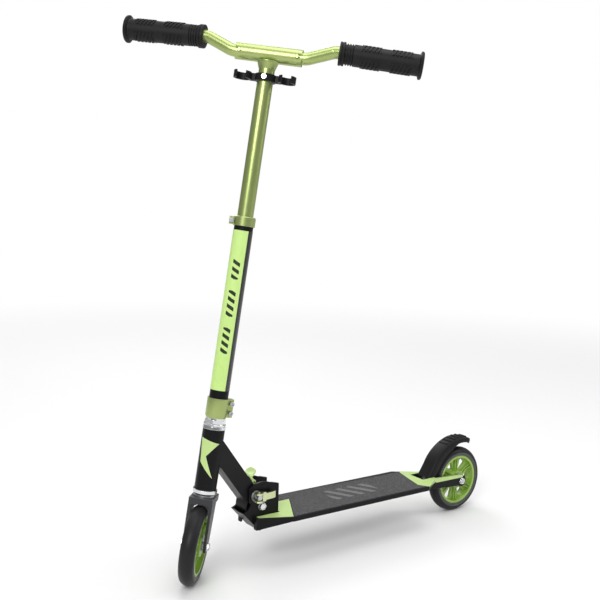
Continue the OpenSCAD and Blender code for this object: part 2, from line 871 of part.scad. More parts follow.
module fork_leg() {
    tip_r = 10;
    back = leg_depth / 2;
    rotate([90, 0, 0]) translate([0, 0, -leg_t / 2]) {
        linear_extrude(leg_t) polygon([
            [-fork_offset - back + 4, crown_z + crown_t - 1], [-fork_offset - tip_r, -axle_drop],
            [-fork_offset + tip_r, -axle_drop], [-fork_offset + back + 12, crown_z],
            [-fork_offset + back + 12, crown_z + crown_t - 1]]);
        translate([-fork_offset, -axle_drop, 0]) cylinder(r = tip_r, h = leg_t);
    }
}

module steerer_tube() {
    color(silver) on_middle() steer_frame() translate([0, 0, crown_z]) {
        ring(steerer_r, steerer_r - 2.5, clamp_z + clamp_h - crown_z);
    }
}

module crown_race() {
    color(silver) on_middle() steer_frame() translate([0, 0, crown_top]) ring(steerer_r + 4, steerer_r, race_h);
}

module headset_nut() {
    r = head_tube_d / 2;
    color(silver) on_middle() steer_frame() translate([0, 0, nut_z]) difference() {
        union() {
            cylinder(r = r + 0.2, h = 2.4);
            translate([0, 0, 2.4]) cylinder(r1 = r - 1.4, r2 = r - 2.4, h = 1.6);
            translate([0, 0, 4]) cylinder(r = r, h = 5.4, $fn = 6);
            translate([0, 0, 9.4]) cylinder(r = r - 2, h = nut_h - 9.4);
        }
        translate([0, 0, -e]) cylinder(r = steerer_r, h = nut_h + 2 * e);
    }
}

ear_x = clamp_r + 3.8;
ear_t = 4.4;
ear_gap = 1.6;

// Two ears of a clamp on its rear left, with the split between them
module clamp_ears(h, reach) {
    rotate([0, 0, -55]) for (side = [-1, 1]) {
        translate([outer_tube_d / 2 + 0.6, side * (ear_gap + ear_t) / 2 - ear_t / 2, 1]) {
            cube([reach - outer_tube_d / 2 - 0.6, ear_t, h - 2]);
        }
    }
}

module lower_clamp() {
    color(olive) on_middle() steer_frame() translate([0, 0, clamp_z]) difference() {
        union() {
            cylinder(r1 = clamp_r - 1.2, r2 = clamp_r, h = 3);
            translate([0, 0, 3]) cylinder(r = clamp_r, h = clamp_h - 3);
            clamp_ears(clamp_h, ear_x + 4);
        }
        translate([0, 0, -e]) cylinder(r = outer_tube_d / 2 + seat_gap, h = clamp_h + 2 * e);
        rotate([0, 0, -55]) translate([0, -ear_gap / 2, -e]) cube([60, ear_gap, clamp_h + 2 * e]);
        for (z = [8, clamp_h - 8]) rotate([0, 0, -55]) translate([ear_x, 0, z]) {
            rotate([90, 0, 0]) cylinder(r = bolt_r, h = 30, center = true);
        }
    }
}

// A socket-head bolt across the ears of a clamp, with its nut on the other side
module ear_bolt() {
    reach = ear_gap / 2 + ear_t;
    rotate([90, 0, 0]) difference() {
        union() {
            translate([0, 0, -reach - 4]) cylinder(r = bolt_r, h = 2 * reach + 4);
            translate([0, 0, reach]) cylinder(r = 3.8, h = 4.4);
        }
        translate([0, 0, reach + 1.6]) cylinder(r = 2.2, h = 5, $fn = 6);
    }
    rotate([90, 0, 0]) translate([0, 0, -reach - 3.2]) hex_nut(4.2, 3.2, bolt_r);
}

module clamp_bolts() {
    color(silver) on_middle() steer_frame() for (z = [8, clamp_h - 8]) {
        translate([0, 0, clamp_z + z]) rotate([0, 0, -55]) translate([ear_x, 0, 0]) ear_bolt();
    }
}

module outer_tube() {
    color(black) on_middle() steer_frame() translate([0, 0, clamp_z]) {
        ring(outer_tube_d / 2, outer_tube_d / 2 - outer_tube_wall, outer_tube_l);
    }
}

module tube_wrap() {
    r = outer_tube_d / 2;
    color(pale) on_middle() steer_frame() translate([0, 0, wrap_z]) rotate([0, 0, 42]) {
        rotate_extrude(angle = 276, $fn = 96) {
            translate([r + film_gap, 0]) square([film_t, wrap_top - wrap_z]);
        }
    }
}

module tube_bushing() {
    color("#d9d9d4") on_middle() steer_frame() translate([0, 0, outer_top - bushing_l]) {
        ring(outer_tube_d / 2 - outer_tube_wall, inner_tube_d / 2 + run_gap, bushing_l);
    }
}

collar_ear = collar_r + 3.2;

module top_collar() {
    color(olive) on_middle() steer_frame() translate([0, 0, collar_z]) difference() {
        union() {
            cylinder(r = collar_r, h = collar_h - 1.5);
            translate([0, 0, collar_h - 1.5]) cylinder(r1 = collar_r, r2 = collar_r - 1.5, h = 1.5);
            rotate([0, 0, 100]) for (side = [-1, 1]) {
                translate([outer_tube_d / 2 + 0.6, side * (ear_gap + ear_t) / 2 - ear_t / 2, 1]) {
                    cube([collar_ear + 3.6 - outer_tube_d / 2 - 0.6, ear_t, collar_h - 3]);
                }
            }
        }
        translate([0, 0, -e]) cylinder(r = outer_tube_d / 2 + seat_gap, h = collar_h - 3 + e);
        translate([0, 0, -e]) cylinder(r = inner_tube_d / 2 + run_gap, h = collar_h + 2 * e);
        rotate([0, 0, 100]) translate([outer_tube_d / 2 - 4, -ear_gap / 2, -e]) {
            cube([60, ear_gap, collar_h + 2 * e]);
        }
        rotate([0, 0, 100]) translate([collar_ear, 0, collar_h / 2 - 0.5]) {
            rotate([90, 0, 0]) cylinder(r = bolt_r, h = 30, center = true);
        }
    }
}

module collar_bolt() {
    color(silver) on_middle() steer_frame() translate([0, 0, collar_z + collar_h / 2 - 0.5]) {
        rotate([0, 0, 100]) translate([collar_ear, 0, 0]) ear_bolt();
    }
}

module front_axle() {
    color(silver) on_middle() front_axle_frame() axle_shaft(leg_out);
}

module front_axle_nuts() {
    color(silver) on_middle() front_axle_frame() axle_nuts(leg_out);
}

module front_washers() {
    color(silver) on_middle() front_axle_frame() axle_washers(leg_in);
}

module front_tyre() {
    color(rubber) on_middle() front_axle_frame() tyre();
}

module front_wheel_core() {
    color(lime) on_middle() front_axle_frame() wheel_core();
}

module front_bearings() {
    color(silver) on_middle() front_axle_frame() wheel_bearings();
}

module front_bearing_sleeve() {
    color(silver) on_middle() front_axle_frame() bearing_sleeve();
}

// Inner tube and T ------------------------------------------------------------------------------

neck_low = tee_height - tee_r - 10;

module inner_tube() {
    r = inner_tube_d / 2;
    color(olive) on_middle() steer_frame() translate([0, 0, inner_low]) {
        ring(r, r - inner_tube_wall, tee_height - tee_r + 1 - inner_low);
    }
}

module handlebar_tee() {
    r = inner_tube_d / 2;
    color(olive) on_middle() steer_frame() difference() {
        union() {
            translate([0, 0, tee_height]) rotate([90, 0, 0]) {
                cylinder(r = tee_r, h = tee_l, center = true);
            }
            translate([0, 0, neck_low]) cylinder(r1 = r + 0.4, r2 = r + 4.4, h = 12);
        }
        translate([0, 0, neck_low - e]) cylinder(r = r, h = 11 + e);
        translate([0, 0, tee_height]) rotate([90, 0, 0]) {
            cylinder(r = bar_r + run_gap, h = tee_l + 2, center = true);
        }
        for (side = [-1, 1]) translate([0, side * button_lat, tee_height]) button_slot(side);
    }
}

// A slot through the front wall of the T tube, open to the tube's end
module button_slot(side) {
    rotate([0, -90, 0]) cylinder(r = slot_r, h = 30);
    translate([-30, side > 0 ? 0 : -12, -slot_r]) cube([30, 12, 2 * slot_r]);
}

module snap_button(side) {
    translate([0, side * button_lat, tee_height]) rotate([0, -90, 0]) {
        translate([0, 0, bar_r - 5.5]) cylinder(r = button_r, h = tee_r - bar_r + 6.3);
    }
}

module snap_button_left() {
    color(silver) on_middle() steer_frame() snap_button(-1);
}

module snap_button_right() {
    color(silver) on_middle() steer_frame() snap_button(1);
}

function bar_points(side) = [
    [0, side * bar_in, tee_height],
    [0, side * bend_in, tee_height],
    [bend_back, side * bend_out, tee_height + bar_rise]];
function grip_dir(side) = [sin(grip_sweep), side * cos(grip_sweep), -sin(grip_droop)];
function grip_point(side, d) = bar_points(side)[2] + grip_dir(side) * d;

bar_bend_r = 26;
bar_wall = 2;
bend_extra = 0.05;              // the bends are thicker by this much, so the straights end inside them
bend_lap = 0.5;

function unit(v) = v / norm(v);
function bend_angle(a, b, c) = acos(unit(b - a) * unit(c - b));
function bend_cut(a, b, c) = bar_bend_r * tan(bend_angle(a, b, c) / 2);

// A straight length of bar from a to b, shortened by a given cut at each end
module bar_straight(a, b, cut_a, cut_b) {
    d = unit(b - a);
    start = cut_a > 0 ? cut_a - bend_lap : 0;
    stop = cut_b > 0 ? cut_b - bend_lap : 0;
    along(a + d * start, b) ring(bar_r, bar_r - bar_wall, norm(b - a) - start - stop);
}

// The bend of the bar at b, coming from a and going on to c
module bar_bend(a, b, c) {
    d = unit(b - a);
    f = unit(c - b);
    inner = unit(f - d * (f * d));
    centre = b - d * bend_cut(a, b, c) + inner * bar_bend_r;
    axis = cross(-inner, d);
    multmatrix([
        [-inner.x, d.x, axis.x, centre.x],
        [-inner.y, d.y, axis.y, centre.y],
        [-inner.z, d.z, axis.z, centre.z]]) {
        rotate_extrude(angle = bend_angle(a, b, c), $fn = 128) translate([bar_bend_r, 0]) {
            difference() {
                circle(r = bar_r + bend_extra);
                circle(r = bar_r - bar_wall - bend_extra);
            }
        }
    }
}

module handlebar(side) {
    p = bar_points(side);
    q = grip_point(side, grip_start + grip_len - 3.5);
    cut_1 = bend_cut(p[0], p[1], p[2]);
    cut_2 = bend_cut(p[1], p[2], q);
    difference() {
        bar_straight(p[0], p[1], 0, cut_1);
        translate([0, side * button_lat, tee_height]) rotate([0, -90, 0]) {
            cylinder(r = button_r + run_gap, h = 30);
        }
    }
    bar_bend(p[0], p[1], p[2]);
    bar_straight(p[1], p[2], cut_1, cut_2);
    bar_bend(p[1], p[2], q);
    bar_straight(p[2], q, cut_2, 0);
}

module handlebar_left() {
    color(olive) on_middle() steer_frame() handlebar(-1);
}

module handlebar_right() {
    color(olive) on_middle() steer_frame() handlebar(1);
}

// A rubber grip: inner flange, two narrow ribs, body and a wide end flange
module grip(side) {
    body_r = grip_d / 2;
    flange = 9;
    end_t = 5.5;
    along(grip_point(side, grip_start), grip_point(side, grip_start + 1)) difference() {
        union() {
            cylinder(r = body_r + 1.6, h = flange);
            translate([0, 0, flange]) cylinder(r = body_r - 2.2, h = 14);
            for (z = [11, 15, 19]) translate([0, 0, z]) cylinder(r = body_r, h = 2.4);
            translate([0, 0, 22]) cylinder(r = body_r, h = grip_len - 22 - end_t);
            translate([0, 0, grip_len - end_t - 1.4]) {
                cylinder(r1 = body_r, r2 = body_r + 4.8, h = 1.4 + e);
            }
            translate([0, 0, grip_len - end_t]) cylinder(r = body_r + 4.8, h = end_t - 1.5);
            translate([0, 0, grip_len - 1.5]) cylinder(r1 = body_r + 4.8, r2 = body_r + 3, h = 1.5);
        }
        translate([0, 0, -e]) cylinder(r = bar_r + film_gap, h = grip_len - 3 + e);
    }
}

module grip_left() {
    color(rubber) on_middle() steer_frame() grip(-1);
}

module grip_right() {
    color(rubber) on_middle() steer_frame() grip(1);
}

// The handle holder: a ring on the inner tube with an open clip on each side
module handle_holder() {
    r = inner_tube_d / 2;
    wall = 3.4;
    color(black) on_middle() steer_frame() translate([0, 0, holder_z - holder_h / 2]) difference() {
        union() {
            cylinder(r = r + 4, h = holder_h);
            for (side = [-1, 1]) {
                translate([holder_clip_back, side * holder_clip_lat, 0]) {
                    cylinder(r = holder_clip_r + wall, h = holder_h);
                }
            }
            translate([-4, -holder_clip_lat + holder_clip_r, 0]) {
                cube([8, 2 * (holder_clip_lat - holder_clip_r), holder_h]);
            }
        }
        translate([0, 0, -e]) cylinder(r = r, h = holder_h + 2 * e);
        for (side = [-1, 1]) translate([holder_clip_back, side * holder_clip_lat, -e]) {
            cylinder(r = holder_clip_r, h = holder_h + 2 * e);
            translate([-40, -7, 0]) cube([40, 14, holder_h + 2 * e]);
        }
        translate([-r - 6, 0, holder_h / 2]) rotate([0, 90, 0]) cylinder(r = 2, h = 6.5);
    }
}

module holder_screw() {
    r = inner_tube_d / 2;
    color(silver) on_middle() steer_frame() translate([-r - 0.2, 0, holder_z]) rotate([0, -90, 0]) difference() {
        union() {
            cylinder(r = 2, h = 4.2);
            translate([0, 0, 4.2]) cylinder(r = 4, h = 2.2);
        }
        translate([0, 0, 5]) cylinder(r = 1.8, h = 3, $fn = 6);
    }
}

deck();
grip_surface();
front_graphic();
rear_graphic();
fold_bracket();
pivot_bolt();
pivot_nut();
quick_release_skewer();
skewer_nut();
skewer_washer();
cam_pin();
cam_lever();
rear_arms();
rear_axle();
rear_axle_nuts();
rear_washers();
brake_pin();
brake_spring();
rear_tyre();
rear_wheel_core();
rear_bearings();
rear_bearing_sleeve();
brake_mudguard();
down_beam();
pivot_bushing();
headset_cups();
headset_bearings();
head_graphic();
lever_lugs();
lever_pin();
lever_spring();
release_lever();
fork();
steerer_tube();
crown_race();
headset_nut();
lower_clamp();
clamp_bolts();
outer_tube();
tube_wrap();
tube_bushing();
top_collar();
collar_bolt();
front_axle();
front_axle_nuts();
front_washers();
front_tyre();
front_wheel_core();
front_bearings();
front_bearing_sleeve();
inner_tube();
handlebar_tee();
handle_holder();
holder_screw();
handlebar_left();
grip_left();
handlebar_right();
grip_right();
snap_button_left();
snap_button_right();
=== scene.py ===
# %% [markdown]
# # A folding kick scooter, finished in Blender
#
# A kick scooter is a deck between two small wheels, with a steering column that folds down on it.
# Its parts already exist as exact solids, whose places and joints stay as they are. What is
# left is everything that the eye reads: rounded edges, moulded tyres, ribbed grips, printed films,
# and a finish for each of its metals, plastics and rubbers.
#
# The first cell loads that fixed frame and keeps its overall box, and the last cell measures the
# finished scooter.

# %% Load the frame
import json
import math

import bmesh
import bpy
from mathutils import Matrix, Vector

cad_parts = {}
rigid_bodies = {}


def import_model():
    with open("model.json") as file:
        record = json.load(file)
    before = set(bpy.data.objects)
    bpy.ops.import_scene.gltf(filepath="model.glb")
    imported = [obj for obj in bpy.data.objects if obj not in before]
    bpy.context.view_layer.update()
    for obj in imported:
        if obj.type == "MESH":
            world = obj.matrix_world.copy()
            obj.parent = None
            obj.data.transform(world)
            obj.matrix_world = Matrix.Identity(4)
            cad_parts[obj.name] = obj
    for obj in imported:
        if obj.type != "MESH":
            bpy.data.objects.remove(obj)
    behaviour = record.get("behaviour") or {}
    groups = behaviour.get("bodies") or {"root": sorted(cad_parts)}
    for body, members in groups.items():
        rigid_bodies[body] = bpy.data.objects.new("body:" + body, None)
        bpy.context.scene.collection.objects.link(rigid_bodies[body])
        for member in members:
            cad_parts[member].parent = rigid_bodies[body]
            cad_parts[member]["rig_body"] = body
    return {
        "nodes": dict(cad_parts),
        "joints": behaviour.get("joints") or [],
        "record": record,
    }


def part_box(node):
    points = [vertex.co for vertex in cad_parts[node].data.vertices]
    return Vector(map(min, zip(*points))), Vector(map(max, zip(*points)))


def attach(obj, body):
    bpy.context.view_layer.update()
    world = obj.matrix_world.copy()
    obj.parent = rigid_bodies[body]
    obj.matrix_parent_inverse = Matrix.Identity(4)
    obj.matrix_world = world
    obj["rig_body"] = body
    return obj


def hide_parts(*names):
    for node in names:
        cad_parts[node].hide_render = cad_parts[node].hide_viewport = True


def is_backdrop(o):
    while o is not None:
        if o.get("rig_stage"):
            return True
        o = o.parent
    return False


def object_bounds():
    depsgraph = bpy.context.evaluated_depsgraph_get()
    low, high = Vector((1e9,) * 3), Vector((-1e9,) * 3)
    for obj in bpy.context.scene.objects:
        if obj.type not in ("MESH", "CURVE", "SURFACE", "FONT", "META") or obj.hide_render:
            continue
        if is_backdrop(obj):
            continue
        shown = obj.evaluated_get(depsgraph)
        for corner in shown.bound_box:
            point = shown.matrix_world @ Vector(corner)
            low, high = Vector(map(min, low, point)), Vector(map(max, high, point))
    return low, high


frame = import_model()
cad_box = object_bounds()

MM = 0.001
nodes = frame["nodes"]
record = frame["record"]
joints = {joint["name"]: joint for joint in frame["joints"]}
low, high = cad_box
middle = (low + high) / 2
print("The scooter measures", [round(side / MM) for side in high - low], "mm over all")

# %% [markdown]
# ## Axes to work along
#
# Almost every piece of a scooter is round about some axis: the column, the axles, the bars. A
# matrix whose Z axis lies along that axis lets a piece be modelled upright at the origin and then
# put in place with one transform. The joints of the frame hold these axes exactly, so they are
# read from there instead of being measured again. The direction of the camera is set here too,
# because the printed wrap of the column has to face it.

# %% Make the working frames


def frame_at(origin, z_axis, y_axis):
    """A matrix that carries an upright piece to origin, with its Z and Y along the given axes."""
    z = Vector(z_axis).normalized()
    x = Vector(y_axis).cross(z).normalized()
    y = z.cross(x)
    turn = Matrix((x, y, z)).transposed().to_4x4()
    return Matrix.Translation(Vector(origin)) @ turn


def joint_origin(name):
    return Vector(joints[name]["pos_m"])


def joint_axis(name):
    return Vector(joints[name]["axis"])


steering_axis = joint_axis("steering_turn")
front_axle = joint_axis("front_wheel_spin")
column = frame_at(joint_origin("steering_turn"), steering_axis, front_axle)
front_hub = frame_at(joint_origin("front_wheel_spin"), -front_axle, steering_axis)
rear_hub = frame_at(joint_origin("rear_wheel_spin"), -joint_axis("rear_wheel_spin"), (0, 0, 1))
camera_azimuth = math.radians(-37.36)
camera_height = math.radians(7.62)
toward_camera = Vector((
    math.sin(camera_azimuth) * math.cos(camera_height),
    -math.cos(camera_azimuth) * math.cos(camera_height),
    math.sin(camera_height)))
column_lean = math.degrees(steering_axis.angle((0, 0, 1)))
print("The column leans", round(column_lean, 1), "degrees")


def box_in(node, place):
    """The lowest and highest corners of a node, measured along the axes of a working frame."""
    back = place.inverted()
    points = [back @ vertex.co for vertex in nodes[node].data.vertices]
    lowest = Vector([min(point[axis] for point in points) for axis in range(3)])
    highest = Vector([max(point[axis] for point in points) for axis in range(3)])
    return lowest, highest


# %% [markdown]
# ## Shared surface effects
#
# Real surfaces are never even. Powder coat has a faint orange peel, mouldings have a fine grain,
# and edges that hands and shoes touch are a little brighter and smoother. Each of these is a
# small node group, built once here, which every material that needs it places with its own sizes.

# %% Helpers for node groups


def new_group(name, inputs, outputs):
    """An empty shader group with named inputs, given with their defaults, and named outputs."""
    group = bpy.data.node_groups.new(name, "ShaderNodeTree")
    for label, default in inputs.items():
        socket = group.interface.new_socket(label, in_out="INPUT", socket_type="NodeSocketFloat")
        socket.default_value = default
    for label, kind in outputs.items():
        group.interface.new_socket(label, in_out="OUTPUT", socket_type=kind)
    return group, group.nodes.new("NodeGroupInput"), group.nodes.new("NodeGroupOutput")


def add_math(tree, operation, first, second):
    """A Math node whose inputs may be sockets or plain numbers."""
    node = tree.nodes.new("ShaderNodeMath")
    node.operation = operation
    for slot, value in zip(node.inputs, (first, second)):
        if isinstance(value, bpy.types.NodeSocket):
            tree.links.new(value, slot)
        else:
            slot.default_value = value
    return node.outputs[0]


def add_noise(tree, vector, scale, detail):
    """A Noise node read in Object coordinates. Its scale may be a socket or a number."""
    node = tree.nodes.new("ShaderNodeTexNoise")
    node.inputs["Detail"].default_value = detail
    tree.links.new(vector, node.inputs["Vector"])
    if isinstance(scale, bpy.types.NodeSocket):
        tree.links.new(scale, node.inputs["Scale"])
    else:
        node.inputs["Scale"].default_value = scale
    return node.outputs["Fac"]


# %% The grain group


def make_grain():
    """Fine relief and slow cloudiness, both in 0 to 1."""
    group, given, result = new_group(
        "surface_grain", {"Grain Scale": 900.0, "Cloud Scale": 18.0},
        {"Relief": "NodeSocketFloat", "Clouds": "NodeSocketFloat"})
    where = group.nodes.new("ShaderNodeTexCoord").outputs["Object"]
    relief = add_noise(group, where, given.outputs["Grain Scale"], 3)
    clouds = add_noise(group, where, given.outputs["Cloud Scale"], 4)
    group.links.new(relief, result.inputs["Relief"])
    group.links.new(clouds, result.inputs["Clouds"])
    return group


grain = make_grain()
print("Group", grain.name, "is ready")

# %% The edge wear group


def make_edge_wear():
    """A mask that is 1 on sharp outer edges, broken up by noise, and 0 on flat faces."""
    group, given, result = new_group(
        "edge_wear", {"Radius": 0.0012, "Patchiness": 90.0}, {"Mask": "NodeSocketFloat"})
    bevel = group.nodes.new("ShaderNodeBevel")
    bevel.samples = 4
    group.links.new(given.outputs["Radius"], bevel.inputs["Radius"])
    geometry = group.nodes.new("ShaderNodeNewGeometry")
    dot = group.nodes.new("ShaderNodeVectorMath")
    dot.operation = "DOT_PRODUCT"
    group.links.new(bevel.outputs["Normal"], dot.inputs[0])
    group.links.new(geometry.outputs["Normal"], dot.inputs[1])
    turned = add_math(group, "SUBTRACT", 1.0, dot.outputs["Value"])
    strong = add_math(group, "MULTIPLY", turned, 7.0)
    where = group.nodes.new("ShaderNodeTexCoord").outputs["Object"]
    patches = add_noise(group, where, given.outputs["Patchiness"], 5)
    broken = add_math(group, "MULTIPLY", strong, patches)
    clipped = add_math(group, "MINIMUM", broken, 1.0)
    group.links.new(clipped, result.inputs["Mask"])
    return group


edge_wear = make_edge_wear()
print("Group", edge_wear.name, "is ready")

# %% [markdown]
# ## Finishes
#
# A finish starts from a Principled shader. One helper lays down what all of them share: a base
# colour that drifts slightly, a roughness that drifts with it, and a fine relief through a Bump
# node. The numbers then tell powder coat from rubber.

# %% A helper for finishes


def mix_colours(tree, mask, first, second):
    """A Mix node between two colours, which may be sockets or plain colours."""
    mix = tree.nodes.new("ShaderNodeMix")
    mix.data_type = "RGBA"
    tree.links.new(mask, mix.inputs["Factor"])
    for slot, value in ((mix.inputs[6], first), (mix.inputs[7], second)):
        if isinstance(value, bpy.types.NodeSocket):
            tree.links.new(value, slot)
        else:
            slot.default_value = (*value, 1.0)
    return mix.outputs[2]


def spread(tree, value, lowest, highest):
    """Maps 0 to 1 on to lowest to highest."""
    node = tree.nodes.new("ShaderNodeMapRange")
    tree.links.new(value, node.inputs["Value"])
    node.inputs["To Min"].default_value = lowest
    node.inputs["To Max"].default_value = highest
    return node.outputs["Result"]


def make_finish(name, dark, light, rough, metallic=0.0, grain_scale=900.0, cloud_scale=18.0,
                relief=0.05, depth=0.0002, coat=0.0, shine=0.5, worn=None, worn_rough=0.35):
    """A material with drifting colour and roughness, a fine relief and, where worn is a colour,
    brighter edges. It returns the material."""
    material = bpy.data.materials.new(name)
    material.use_nodes = True
    tree = material.node_tree
    shader = tree.nodes["Principled BSDF"]
    shader.inputs["Metallic"].default_value = metallic
    shader.inputs["Coat Weight"].default_value = coat
    shader.inputs["Coat Roughness"].default_value = 0.08
    shader.inputs["Specular IOR Level"].default_value = shine
    skin = tree.nodes.new("ShaderNodeGroup")
    skin.node_tree = grain
    skin.inputs["Grain Scale"].default_value = grain_scale
    skin.inputs["Cloud Scale"].default_value = cloud_scale
    colour = mix_colours(tree, skin.outputs["Clouds"], dark, light)
    roughness = spread(tree, skin.outputs["Clouds"], rough[0], rough[1])
    if worn:
        wear = tree.nodes.new("ShaderNodeGroup")
        wear.node_tree = edge_wear
        colour = mix_colours(tree, wear.outputs["Mask"], colour, worn)
        smooth = tree.nodes.new("ShaderNodeMix")
        tree.links.new(wear.outputs["Mask"], smooth.inputs["Factor"])
        tree.links.new(roughness, smooth.inputs[2])
        smooth.inputs[3].default_value = worn_rough
        roughness = smooth.outputs[0]
    bump = tree.nodes.new("ShaderNodeBump")
    bump.inputs["Strength"].default_value = relief
    bump.inputs["Distance"].default_value = depth
    tree.links.new(skin.outputs["Relief"], bump.inputs["Height"])
    tree.links.new(bump.outputs["Normal"], shader.inputs["Normal"])
    tree.links.new(colour, shader.inputs["Base Color"])
    tree.links.new(roughness, shader.inputs["Roughness"])
    return material


# %% The plain finishes
finishes = {
    "black_paint": make_finish(
        "black_paint", (0.004, 0.004, 0.005), (0.009, 0.009, 0.010), (0.28, 0.40),
        grain_scale=1400, relief=0.10, shine=0.13, worn=(0.03, 0.03, 0.033)),
    "grey_paint": make_finish(
        "grey_paint", (0.022, 0.023, 0.025), (0.036, 0.037, 0.040), (0.30, 0.40),
        grain_scale=1400, relief=0.10, shine=0.4, worn=(0.12, 0.12, 0.125)),
    "black_plastic": make_finish(
        "black_plastic", (0.006, 0.006, 0.007), (0.013, 0.013, 0.014), (0.38, 0.52),
        grain_scale=2600, relief=0.25, shine=0.16, worn=(0.04, 0.04, 0.042)),
    "olive_metal": make_finish(
        "olive_metal", (0.33, 0.41, 0.14), (0.40, 0.48, 0.18), (0.30, 0.38), metallic=0.9,
        grain_scale=1800, relief=0.006, coat=0.1, worn=(0.55, 0.62, 0.34), worn_rough=0.35),
    "lime_core": make_finish(
        "lime_core", (0.22, 0.38, 0.040), (0.31, 0.49, 0.075), (0.26, 0.36),
        grain_scale=1800, relief=0.08, coat=0.2, worn=(0.40, 0.60, 0.18)),
    "pale_graphic": make_finish(
        "pale_graphic", (0.44, 0.62, 0.19), (0.54, 0.71, 0.28), (0.30, 0.40),
        grain_scale=700, relief=0.05, worn=(0.66, 0.84, 0.50)),
    "grip_rubber": make_finish(
        "grip_rubber", (0.006, 0.006, 0.006), (0.012, 0.012, 0.012), (0.42, 0.56),
        grain_scale=1600, relief=0.35, depth=0.0003, shine=0.2),
    "tyre_rubber": make_finish(
        "tyre_rubber", (0.009, 0.009, 0.010), (0.018, 0.018, 0.020), (0.34, 0.50),
        grain_scale=1100, relief=0.20, depth=0.0003, cloud_scale=45, shine=0.2),
    # The sidewall band near the core is painted a lighter grey, a painted highlight for the
    # rubber's sheen.
    "tyre_painted_sheen": make_finish(
        "tyre_painted_sheen", (0.040, 0.045, 0.042), (0.070, 0.077, 0.072), (0.40, 0.55),
        grain_scale=1100, relief=0.20, depth=0.0003, cloud_scale=60),
    "steel": make_finish(
        "steel", (0.46, 0.47, 0.49), (0.60, 0.61, 0.63), (0.26, 0.40), metallic=1.0,
        grain_scale=2400, cloud_scale=120, relief=0.02),
    "chrome_steel": make_finish(
        "chrome_steel", (0.66, 0.67, 0.69), (0.78, 0.79, 0.80), (0.12, 0.22), metallic=1.0,
        grain_scale=1200, cloud_scale=60, relief=0.008),
    "nylon": make_finish(
        "nylon", (0.62, 0.62, 0.59), (0.72, 0.72, 0.70), (0.40, 0.50), relief=0.10),
    "bronze": make_finish(
        "bronze", (0.46, 0.31, 0.14), (0.60, 0.42, 0.20), (0.35, 0.50), metallic=1.0,
        grain_scale=3000, relief=0.20),
}
# A lighter copy of the olive metal for the cast cam lever; its lightness is a painted highlight.
finishes["cast_olive_painted_highlight"] = make_finish(
    "cast_olive_painted_highlight", (0.52, 0.58, 0.30), (0.66, 0.71, 0.44), (0.18, 0.28), metallic=0.95,
    grain_scale=1500, relief=0.03, worn=(0.85, 0.88, 0.72), worn_rough=0.2)
print(len(finishes), "plain finishes are ready")

# %% [markdown]
# ## Printed and gritted finishes
#
# Two finishes carry a pattern of their own. The deck's grip surface is a sheet of grit: coarse
# grains, each with its own tone, over which a few broad slanting bars are printed in a lighter
# grey. The wrap on the steering tube is a printed film, with a dark strip along one edge and a
# column of slanting flashes. Both patterns are built from plain coordinates, measured along the
# working frames, and neither holds any lettering.

# %% A helper that reads coordinates along a frame


def frame_coordinates(tree, place):
    """Object coordinates turned into a working frame, in metres, as separate X, Y and Z sockets."""
    where = tree.nodes.new("ShaderNodeTexCoord")
    back = place.inverted()
    mapping = tree.nodes.new("ShaderNodeMapping")
    mapping.inputs["Location"].default_value = back.translation
    mapping.inputs["Rotation"].default_value = back.to_euler("XYZ")
    tree.links.new(where.outputs["Object"], mapping.inputs["Vector"])
    split = tree.nodes.new("ShaderNodeSeparateXYZ")
    tree.links.new(mapping.outputs[0], split.inputs[0])
    return split.outputs


def between(tree, value, first, last):
    """1 where first < value < last, and 0 elsewhere."""
    above = add_math(tree, "GREATER_THAN", value, first)
    below = add_math(tree, "LESS_THAN", value, last)
    return add_math(tree, "MULTIPLY", above, below)


def slant_bars(tree, along, across, period, share, slope):
    """A row of bars, each share of a period wide, that lean by slope."""
    leaned = add_math(tree, "ADD", along, add_math(tree, "MULTIPLY", across, slope))
    wave = add_math(tree, "FRACT", add_math(tree, "DIVIDE", leaned, period), 0.0)
    return add_math(tree, "LESS_THAN", wave, share)


# %% The deck's grit
deck_low, deck_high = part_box("grip_surface")
deck_middle = (deck_low + deck_high) / 2
deck_frame = frame_at(deck_middle, (0.0175, 0, 1), (0, 1, 0))


def make_grit():
    material = make_finish(
        "grip_deck", (0.050, 0.050, 0.052), (0.066, 0.066, 0.069), (0.80, 0.94),
        grain_scale=900, cloud_scale=14, shine=0.3)
    tree = material.node_tree
    shader = tree.nodes["Principled BSDF"]
    base = shader.inputs["Base Color"].links[0].from_socket
    where = tree.nodes.new("ShaderNodeTexCoord").outputs["Object"]
    grains = tree.nodes.new("ShaderNodeTexVoronoi")
    grains.inputs["Scale"].default_value = 900
    tree.links.new(where, grains.inputs["Vector"])
    tone = tree.nodes.new("ShaderNodeSeparateColor")
    tree.links.new(grains.outputs["Color"], tone.inputs[0])
    bright = add_math(tree, "GREATER_THAN", tone.outputs[0], 0.80)
    speckle = add_math(tree, "MULTIPLY", bright, 0.55)
    speckled = mix_colours(tree, speckle, base, (0.17, 0.17, 0.175))
    place = frame_coordinates(tree, deck_frame)
    bars = slant_bars(tree, place["X"], place["Y"], 0.026, 0.42, 0.55)
    lengthwise = between(tree, place["X"], -0.045, 0.060)
    patch = add_math(tree, "MULTIPLY", lengthwise, between(tree, place["Y"], -0.022, 0.022))
    print_mask = add_math(tree, "MULTIPLY", bars, patch)
    worn_print = spread(tree, grains.outputs["Distance"], 0.45, 0.85)
    cover = add_math(tree, "MULTIPLY", print_mask, worn_print)
    printed = mix_colours(tree, cover, speckled, (0.21, 0.21, 0.215))
    tree.links.new(printed, shader.inputs["Base Color"])
    bump = shader.inputs["Normal"].links[0].from_node
    bump.inputs["Strength"].default_value = 0.55
    bump.inputs["Distance"].default_value = 0.0005
    tree.links.new(grains.outputs["Distance"], bump.inputs["Height"])
    return material


finishes["grip_deck"] = make_grit()
print("The grip surface is", round((deck_high.x - deck_low.x) / MM), "mm long")

# %% The printed wrap of the steering tube
wrap_low, wrap_high = box_in("tube_wrap", column)


